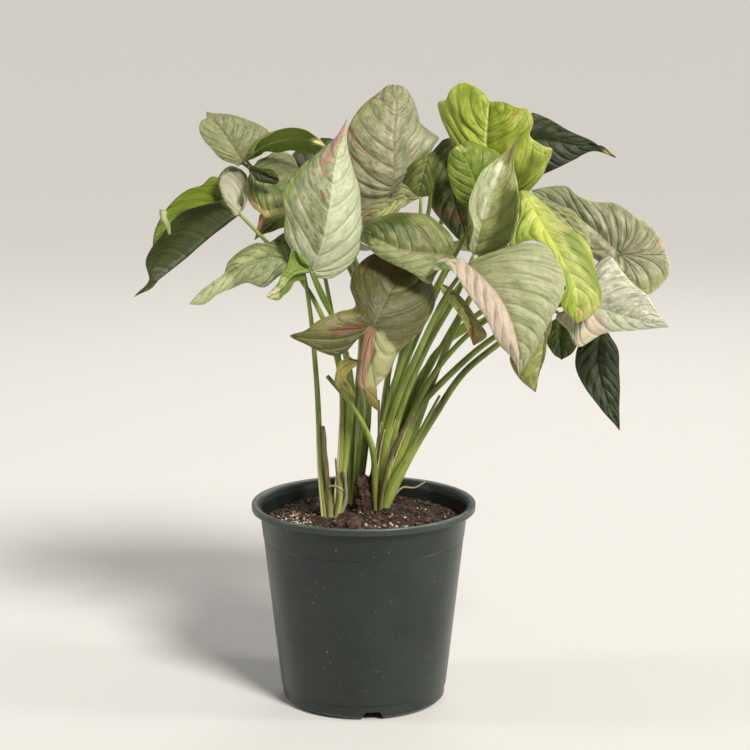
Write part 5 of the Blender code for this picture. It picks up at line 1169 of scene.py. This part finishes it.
sheath_edges = []
stalks = [make_crown(crown) for crown in CROWNS]
points, faces, uv = join(sheath_edges)
SHEATH_RIM = stalk_material("sheath_rim", STALK_RIM, 0.12)
stalks.append(add_piece("sheath_edges", points, faces, SHEATH_RIM, uv))
print([(s.name, len(s.data.polygons)) for s in stalks])

# %% [markdown]
# Old sheaths dry into thin brown gutters that stand among the stalks, and pale roots creep over the
# soil.  They are the same tubes with a deep groove, in finishes of their own.

# %% Dry sheaths, roots and the curled ends of leaves
for kind, name, paint, groove in (("dry", "dry_sheaths", SHEATH_DRY, 0.75), ("root", "pale_roots", ROOT_PALE, 0.2)):
    points, faces, uv = join([stub(*row[1:], groove, 0.12) for row in STUBS if row[0] == kind])
    stalks.append(add_piece(name, points, faces, paint, uv))

CURLS = [
    (3.0, 1.0, [(-135, -44, 358), (-135, -46, 354), (-132, -47, 348), (-131, -46, 342)]),
    (0.9, 1.5, [(-5, -41, 253), (-10, -44, 254), (-15, -45, 250), (-16, -41, 243), (-14, -43, 237),
        (-10, -39, 232)]),
]

curl_tubes = []
for first, last, keys in CURLS:
    share = np.linspace(0.0, 1.0, 20)
    curl_tubes.append(tube(spline(keys, share), first + (last - first) * share, 16, 0.7, 1.2, 1.0))
points, faces, uv = join(curl_tubes)
CURL_PALE = stalk_material("curl_pale", ((0.22, 0.25, 0.08, 1), (0.25, 0.27, 0.09, 1), (0.34, 0.34, 0.16, 1),
                                         (0.12, 0.13, 0.04, 1)), 0.12)
curls = add_piece("leaf_curls", points, faces, CURL_PALE, uv)
print("dry sheaths, roots and curls:", [len(o.data.polygons) for o in stalks[-2:] + [curls]], "faces")

# %% [markdown]
# ## Pot
# The nursery pot is moulded in one piece: a thin tapered wall, a collar line, a wider rim with rounded
# edges, and a foot ring with four notches that let water out.  It is a profile turned about the axis.
# The notches are where the lowest rings are lifted, and the drain holes are cut from the floor.

# %% Pot shape
POT_HEIGHT = 144.5
RIM_RADIUS = 80.0
FOOT_RADIUS = 54.7
BODY_RADIUS = 59.6
COLLAR_RADIUS = 71.6
COLLAR_HEIGHT = 120.0
COLLAR_STEP = 0.45
FLOOR_TOP = 10.4
DRAIN_HOLES = 8
DRAIN_RADIUS = 3.6
DRAIN_CIRCLE = 34.0
WALL = 1.6
NOTCH_HALF = math.radians(7.3)
NOTCH_HEIGHT = 6.6
NOTCH_TURN = math.radians(-83.5)
POT_SIDES = 192


def rounded(corners, cut=0.35, steps=3):
    """Closed profile whose corners are replaced by short arcs: quadratic curves between points a
    little before and after each corner."""
    corners = np.asarray(corners, float)
    before, after = np.roll(corners, 1, 0), np.roll(corners, -1, 0)

    def toward(other):
        gap = np.linalg.norm(other - corners, axis=1, keepdims=True) + 1e-9
        return corners + (other - corners) * np.minimum(cut / gap, 0.4)

    t = np.linspace(0.0, 1.0, steps)[None, :, None]
    arc = (1 - t)**2 * toward(before)[:, None] + 2 * t * (1 - t) * corners[:, None] + t**2 * toward(after)[:, None]
    return arc.reshape(-1, 2)


def pot_profile():
    """Outline of the wall, outside from the foot up, over the rim, down the inside, floor and foot."""
    slope = (COLLAR_RADIUS - BODY_RADIUS) / (COLLAR_HEIGHT - 11.0)
    under_rim = COLLAR_RADIUS + COLLAR_STEP + slope * (POT_HEIGHT - 5.2 - COLLAR_HEIGHT)
    outer = [(FOOT_RADIUS, 0), (FOOT_RADIUS + 3.6, 3.4), (BODY_RADIUS - 1.3, 10.4), (BODY_RADIUS, 11.4),
             (COLLAR_RADIUS, COLLAR_HEIGHT - 1.3), (COLLAR_RADIUS - 0.25, COLLAR_HEIGHT - 0.3),
             (COLLAR_RADIUS + COLLAR_STEP, COLLAR_HEIGHT + 0.4),
             (under_rim, POT_HEIGHT - 5.2), (RIM_RADIUS - 0.4, POT_HEIGHT - 5.2), (RIM_RADIUS, POT_HEIGHT - 4.6),
             (RIM_RADIUS, POT_HEIGHT - 0.8), (RIM_RADIUS - 0.8, POT_HEIGHT), (RIM_RADIUS - 3.6, POT_HEIGHT - 0.6),
             (under_rim - WALL + 1.2, POT_HEIGHT - 2.4), (under_rim - WALL, POT_HEIGHT - 6.2)]
    inner = [(BODY_RADIUS - WALL + 0.2, 13.4), (BODY_RADIUS - WALL - 2.2, 10.4), (12.6, 10.4), (11.8, 1.8), (0.4, 1.8),
             (0.4, 0.0), (13.4, 0.0), (14.6, 8.6), (FOOT_RADIUS - 3.8, 8.6), (FOOT_RADIUS - 3.0, 0.0)]
    return rounded(outer + inner)


def pot_points():
    """Profile turned about Z: (r cos a, r sin a, z); in a notch the foot's rings rise to its top."""
    profile = pot_profile()
    turn = math.tau * np.arange(POT_SIDES) / POT_SIDES
    near = np.abs(np.angle(np.exp(4j * (turn - NOTCH_TURN)))) / 4
    notch = 1.0 - np.clip((near - NOTCH_HALF * 0.82) / (NOTCH_HALF * 0.2), 0.0, 1.0)
    r = profile[:, :1] * np.ones_like(turn)
    z = profile[:, 1:] * np.ones_like(turn)
    foot = (r > FOOT_RADIUS - 3.9) & (z < NOTCH_HEIGHT)
    lifted = np.where(foot, z + (NOTCH_HEIGHT - z) * 0.97 * notch, z)
    grow = np.interp(lifted, [0.0, 3.4, 10.6], [FOOT_RADIUS, FOOT_RADIUS + 3.6, BODY_RADIUS - 0.7])
    r = np.where(foot & (r > FOOT_RADIUS - 1.0) & (notch > 0), np.maximum(r, grow), r)
    return np.stack([r * np.cos(turn), r * np.sin(turn), lifted], axis=-1)


# %% Pot finish
RIM_HIGHLIGHT_TINT = (0.036, 0.046, 0.040, 1)
WEAR_AND_HIGHLIGHT_TINT = (0.130, 0.150, 0.135, 1)


def pot_material():
    """Dark slate green plastic: faint cloudiness, fine lines and scuffs around it, dusty specks, and a painted
    highlight on the rim band and along the rim's top edge, that edge partly wear.
    """
    paint, tree, shader = new_material("pot_plastic", 0.38)
    shader.inputs["Specular IOR Level"].default_value = 0.36
    spot = put(tree, "ShaderNodeTexCoord", output=3)
    cloud = noise(tree, spot, 22.0, 4.0, 0.6)
    colour = blend(tree, step_up(tree, cloud, 0.3, 0.7), (0.0095, 0.0150, 0.0125, 1), (0.0160, 0.0230, 0.0190, 1))
    ring_map = put(tree, "ShaderNodeMapping", {"Vector": spot, "Scale": (1.0, 1.0, 30.0)})
    rings = noise(tree, ring_map, 30.0, 3.0, 0.6)
    scuff_map = put(tree, "ShaderNodeMapping", {"Vector": spot, "Scale": (1.0, 1.0, 6.0)})
    scuff = step_up(tree, noise(tree, scuff_map, 60.0, 5.0, 0.7), 0.62, 0.76)
    colour = blend(tree, calc(tree, "MULTIPLY", rings, 0.22), colour, (0.030, 0.038, 0.032, 1))
    colour = blend(tree, calc(tree, "MULTIPLY", scuff, 0.25), colour, (0.12, 0.14, 0.12, 1))
    high = tree.nodes.new("ShaderNodeSeparateXYZ")
    tree.links.new(spot, high.inputs[0])
    # Painted highlight: the whole rim band is made lighter.
    colour = blend(tree, calc(tree, "MULTIPLY", step_up(tree, high.outputs[2], 0.1385, 0.1395), 0.55), colour, RIM_HIGHLIGHT_TINT)
    # Painted highlight along the rim's top edge, partly wear, broken up by the ring noise.
    worn_and_lit_edge = calc(tree, "MULTIPLY", step_up(tree, high.outputs[2], 0.1428, 0.1442), step_up(tree, rings, 0.30, 0.55))
    colour = blend(tree, calc(tree, "MULTIPLY", worn_and_lit_edge, 0.75), colour, WEAR_AND_HIGHLIGHT_TINT)
    dust = step_up(tree, noise(tree, spot, 420.0, 2.0, 0.5), 0.70, 0.76)
    colour = blend(tree, calc(tree, "MULTIPLY", dust, 0.35), colour, (0.24, 0.23, 0.20, 1))
    tree.links.new(colour, shader.inputs["Base Color"])
    tree.links.new(calc(tree, "MULTIPLY_ADD", cloud, 0.16, calc(tree, "MULTIPLY_ADD", scuff, 0.12, 0.24)),
                   shader.inputs["Roughness"])
    grain = calc(tree, "ADD", noise(tree, spot, 900.0, 2.0, 0.5), rings)
    bump = put(tree, "ShaderNodeBump", {"Strength": 0.16, "Distance": 0.0002, "Height": grain})
    tree.links.new(bump, shader.inputs["Normal"])
    return paint


def drain_cutter():
    """Upright tubes through the pot's floor, one at each drain hole."""
    turn = math.tau * (np.arange(DRAIN_HOLES) + 0.5) / DRAIN_HOLES
    tubes = [tube(np.array([[x, y, FLOOR_TOP - 5.0], [x, y, FLOOR_TOP], [x, y, FLOOR_TOP + 3.0]]),
                  np.full(3, DRAIN_RADIUS), 24)
             for x, y in zip(DRAIN_CIRCLE * np.cos(turn), DRAIN_CIRCLE * np.sin(turn))]
    points, faces, _ = join(tubes)
    mesh = bpy.data.meshes.new("drain_cutter")
    mesh.from_pydata((points * MM).tolist(), [], faces)
    cutter = bpy.data.objects.new("drain_cutter", mesh)
    bpy.context.scene.collection.objects.link(cutter)
    return cutter


def make_pot():
    """Turned pot; the drain holes are cut from its floor by a Boolean that is applied at once."""
    points = pot_points()
    quads = grid_faces(len(points), POT_SIDES, True)
    last = (len(points) - 1) * POT_SIDES + np.arange(POT_SIDES)
    first = np.arange(POT_SIDES)
    closing = np.stack([last, np.roll(last, -1), np.roll(first, -1), first], axis=1)
    made = add_piece("nursery_pot", points.reshape(-1, 3), np.vstack([quads, closing]), pot_material(), None, None,
                     ("pot",))
    cutter = drain_cutter()
    cut = made.modifiers.new("drains", "BOOLEAN")
    cut.object = cutter
    cut.operation = "DIFFERENCE"
    cut.solver = "EXACT"
    holed = bpy.data.meshes.new_from_object(made.evaluated_get(bpy.context.evaluated_depsgraph_get()))
    made.modifiers.clear()
    made.data = holed
    bpy.data.objects.remove(cutter)
    return made


pot = make_pot()
print("pot faces:", len(pot.data.polygons))

# %% [markdown]
# ## Soil
# Potting mix is dark fibre and crumbs with white perlite and bits of bark.  The body is a turned
# profile whose top is lifted by sums of sines and fine noise.  Crumbs, perlite and bark are small
# lumps with a few dozen faces each, scattered by a seeded rule.

# %% Soil body
SOIL_SIDES = 160


def soil_height(x, y):
    """Height of the top, millimetres: level, mound, lumps and fine roughness."""
    radius = np.hypot(x, y)
    turn = np.arctan2(y, x)
    lumps = np.sin(radius * 0.31 + 3 * turn) + np.sin(radius * 0.17 - 5 * turn + 1.3)
    fine = np.sin(x * 0.9 + 2.1 * np.sin(y * 0.7)) * np.sin(y * 1.1 + 1.7 * np.sin(x * 0.6))
    finer = np.sin(x * 2.3 + 1.9 * np.sin(y * 2.9)) * np.sin(y * 2.7 + 1.3 * np.sin(x * 1.9))
    return SOIL_LEVEL + 1.6 * np.cos(radius / 30.0) + 0.75 * lumps + 0.55 * fine + 0.3 * finer


def soil_material():
    """Dark brown fibre and crumbs, with painted shade in the hollows: the colour darkens where the crumb bump is low.
    """
    paint, tree, shader = new_material("potting_soil", 0.92)
    spot = put(tree, "ShaderNodeTexCoord", output=3)
    crumbs = noise(tree, spot, 420.0, 5.0, 0.7)
    patches = noise(tree, spot, 70.0, 3.0, 0.6)
    # Painted shade: the colour goes dark where the crumb noise, which is also the bump height, is low.
    colour = blend(tree, step_up(tree, crumbs, 0.32, 0.70), (0.006, 0.004, 0.003, 1), (0.070, 0.038, 0.022, 1))
    colour = blend(tree, calc(tree, "MULTIPLY", step_up(tree, patches, 0.5, 0.7), 0.5), colour, (0.050, 0.026, 0.018, 1))
    tree.links.new(colour, shader.inputs["Base Color"])
    bump = put(tree, "ShaderNodeBump", {"Strength": 0.9, "Distance": 0.0015, "Height": crumbs})
    tree.links.new(bump, shader.inputs["Normal"])
    return paint


def make_soil():
    """Closed soil body: bottom, tapered side and the uneven top."""
    turn = math.tau * np.arange(SOIL_SIDES) / SOIL_SIDES
    low = [(0.3, 11.2), (BODY_RADIUS - WALL - 3.2, 11.2), (BODY_RADIUS - WALL - 0.4, 15.0), (70.6, SOIL_LEVEL - 1.5)]
    top = np.linspace(71.4, 0.3, 70)
    r = np.r_[[a for a, _ in low], top][:, None] * np.ones_like(turn)
    x, y = r * np.cos(turn), r * np.sin(turn)
    z = np.r_[[b for _, b in low], np.zeros(70)][:, None] * np.ones_like(turn)
    z[4:] = soil_height(x[4:], y[4:])
    points = np.stack([x, y, z], axis=-1).reshape(-1, 3)
    return add_piece("soil_body", points, grid_faces(len(r), SOIL_SIDES, True), soil_material(), None, None,
                     ("soil",), merge=0.0)


soil = make_soil()

# %% Crumbs, perlite and bark
def lump_shape():
    """Twenty-sided ball: points and faces."""
    ball = bmesh.new()
    bmesh.ops.create_icosphere(ball, subdivisions=1, radius=1.0)
    points = np.array([tuple(p.co) for p in ball.verts])
    faces = np.array([[p.index for p in f.verts] for f in ball.faces])
    ball.free()
    return points, faces


def scatter(name, count, sizes, flat, lift, field, seed, paint):
    """Lumps of random size, shape and turn on a round field of the soil (x, y, radius): each point is
    pushed in or out by up to a third, then the lump is flattened, turned about Z and set down."""
    rng = np.random.default_rng(seed)
    ball, faces = lump_shape()
    radius = field[2] * np.sqrt(rng.random(count))
    turn = math.tau * rng.random(count)
    centre = np.stack([field[0] + radius * np.cos(turn), field[1] + radius * np.sin(turn)], axis=1)
    free = np.hypot(centre[:, 0], centre[:, 1]) < 69.5
    for x, y, plug in CROWNS.values():
        free &= np.hypot(centre[:, 0] - x, centre[:, 1] - y) > plug * 0.8
    centre = centre[free]
    count = len(centre)
    size = sizes[0] + (sizes[1] - sizes[0]) * rng.random(count) ** 2
    shape = ball[None] * (1.0 + 0.33 * (rng.random((count, len(ball), 1)) * 2 - 1))
    shape = shape * size[:, None, None] * np.stack(
        [0.6 + 0.9 * rng.random(count), np.ones(count), flat * (0.7 + 0.6 * rng.random(count))], axis=1)[:, None, :]
    spin = math.tau * rng.random(count)
    cos, sin = np.cos(spin)[:, None], np.sin(spin)[:, None]
    tilt = 0.5 * (rng.random(count) - 0.5)[:, None]
    x = shape[:, :, 0] * cos - shape[:, :, 1] * sin + centre[:, :1]
    y = shape[:, :, 0] * sin + shape[:, :, 1] * cos + centre[:, 1:]
    z = shape[:, :, 2] + tilt * shape[:, :, 0] + (soil_height(centre[:, 0], centre[:, 1]) + lift * size * flat)[:, None]
    points = np.stack([x, y, z], axis=-1).reshape(-1, 3)
    every = (faces[None] + len(ball) * np.arange(count)[:, None, None]).reshape(-1, 3)
    piece = add_piece(name, points, every, paint)
    piece.data.shade_flat()
    return piece


def plain_noise_material(name, dark, light, scale, roughness=0.9):
    """Two colours mixed by noise, with a matching bump."""
    paint, tree, shader = new_material(name, roughness)
    spot = put(tree, "ShaderNodeTexCoord", output=3)
    grain = noise(tree, spot, scale, 4.0, 0.65)
    tree.links.new(blend(tree, step_up(tree, grain, 0.35, 0.65), dark + (1.0,), light + (1.0,)), shader.inputs["Base Color"])
    bump = put(tree, "ShaderNodeBump", {"Strength": 0.5, "Distance": 0.0005, "Height": grain})
    tree.links.new(bump, shader.inputs["Normal"])
    return paint


CRUMB = plain_noise_material("soil_crumb", (0.007, 0.004, 0.003), (0.085, 0.046, 0.027), 150.0)
PERLITE = plain_noise_material("perlite", (0.30, 0.25, 0.17), (0.64, 0.57, 0.45), 300.0)
BARK = plain_noise_material("bark", (0.030, 0.013, 0.008), (0.26, 0.145, 0.085), 110.0)
LUMP = plain_noise_material("bark_lump", (0.022, 0.010, 0.006), (0.12, 0.058, 0.036), 200.0)
WHOLE = (0.0, 0.0, 70.0)
scattered = [scatter("soil_crumbs", 3000, (0.4, 1.7), 0.75, 0.35, WHOLE, 3, CRUMB),
             scatter("bark_chips", 210, (0.8, 2.9), 0.45, 0.4, WHOLE, 8, BARK),
             scatter("perlite_grains", 130, (0.35, 1.2), 0.8, 0.6, WHOLE, 5, PERLITE),
             scatter("perlite_left", 90, (0.4, 1.25), 0.8, 0.7, (-50.0, -6.0, 15.0), 6, PERLITE),
             scatter("perlite_front", 50, (0.4, 1.5), 0.8, 0.7, (14.0, -42.0, 24.0), 7, PERLITE),
             scatter("bark_lumps", 7, (3.0, 5.0), 0.7, 0.5, (-12.0, -24.0, 7.0), 9, LUMP)]
print([(s.name, len(s.data.polygons)) for s in scattered])

# %% [markdown]
# ## Old stump
# Between the crowns stands the dark stub of an older stem.  It could be a carved tube; here the radius
# is a sum of waves around and along it, for leaf scars, fibres and lumps, and dry roots hang from it.

# %% Stump
STUMP_AT = (-1.0, 9.0)


def make_stump():
    """Rugged column: radius = 5 mm * (1 + scars around it + ribs along it + lumps), with dry roots."""
    rings, sides = 70, 40
    rise = np.linspace(-13.0, 29.0, rings)[:, None]
    turn = (math.tau * np.arange(sides) / sides)[None, :]
    scars = 0.10 * np.sin(rise * 0.9 + 0.8 * np.sin(turn + 1.0)) + 0.04 * np.sin(rise * 2.9 + 2.0 * np.sin(2 * turn))
    ribs = 0.09 * np.sin(5 * turn + 0.25 * rise) + 0.05 * np.sin(11 * turn - 0.4 * rise)
    lumps = 0.07 * np.sin(3 * turn + 1.7 * rise) * np.sin(0.8 * rise)
    radius = 4.9 * (1.0 + scars + ribs + lumps) * np.interp(rise, [-13, 22, 27, 29], [1.0, 1.0, 0.88, 0.5])
    x = STUMP_AT[0] + radius * np.cos(turn) + 0.6 * np.sin(rise / 6)
    y = STUMP_AT[1] + radius * np.sin(turn)
    z = SOIL_LEVEL + rise + 0.9 * np.sin(2 * turn + 1) * np.clip((rise - 22) / 7, 0, 1)
    body = np.stack([x, y, z], axis=-1).reshape(-1, 3)
    count = len(body)
    ends = np.stack([body[:sides].mean(axis=0), body[-sides:].mean(axis=0) - (0, 0, 1.5)])
    first = np.arange(sides)
    faces = [tuple(f) for f in grid_faces(rings, sides, True)]
    faces += [(count, b, a) for a, b in zip(first, np.roll(first, -1))]
    faces += [(count + 1, a, b) for a, b in zip(first + count - sides, np.roll(first, -1) + count - sides)]
    uv = np.zeros((count + 2, 2))
    tubes = [(np.vstack([body, ends]), faces, uv)]
    rng = np.random.default_rng(4)
    for turn in rng.random(26) * math.tau:
        base = np.array([STUMP_AT[0] + 4.6 * math.cos(turn), STUMP_AT[1] + 4.6 * math.sin(turn), SOIL_LEVEL + 24 * rng.random()])
        sway = rng.random((3, 3)) * (5, 5, 4) - (2.5, 2.5, 9)
        keys = base + np.cumsum(np.vstack([np.zeros(3), sway]), axis=0) * 0.6
        tubes.append(tube(spline(keys, np.linspace(0, 1, 10)), np.linspace(0.55, 0.2, 10), 6))
    points, faces, uv = join(tubes)
    paint = plain_noise_material("old_stem", (0.012, 0.007, 0.004), (0.085, 0.045, 0.026), 260.0)
    return add_piece("stump", points, faces, paint, uv, None, ("old_stump",))


stump = make_stump()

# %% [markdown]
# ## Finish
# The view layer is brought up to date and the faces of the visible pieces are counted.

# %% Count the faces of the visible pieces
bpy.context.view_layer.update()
faces = sum(len(o.data.polygons) for o in bpy.data.objects if o.type == "MESH" and not o.hide_render)
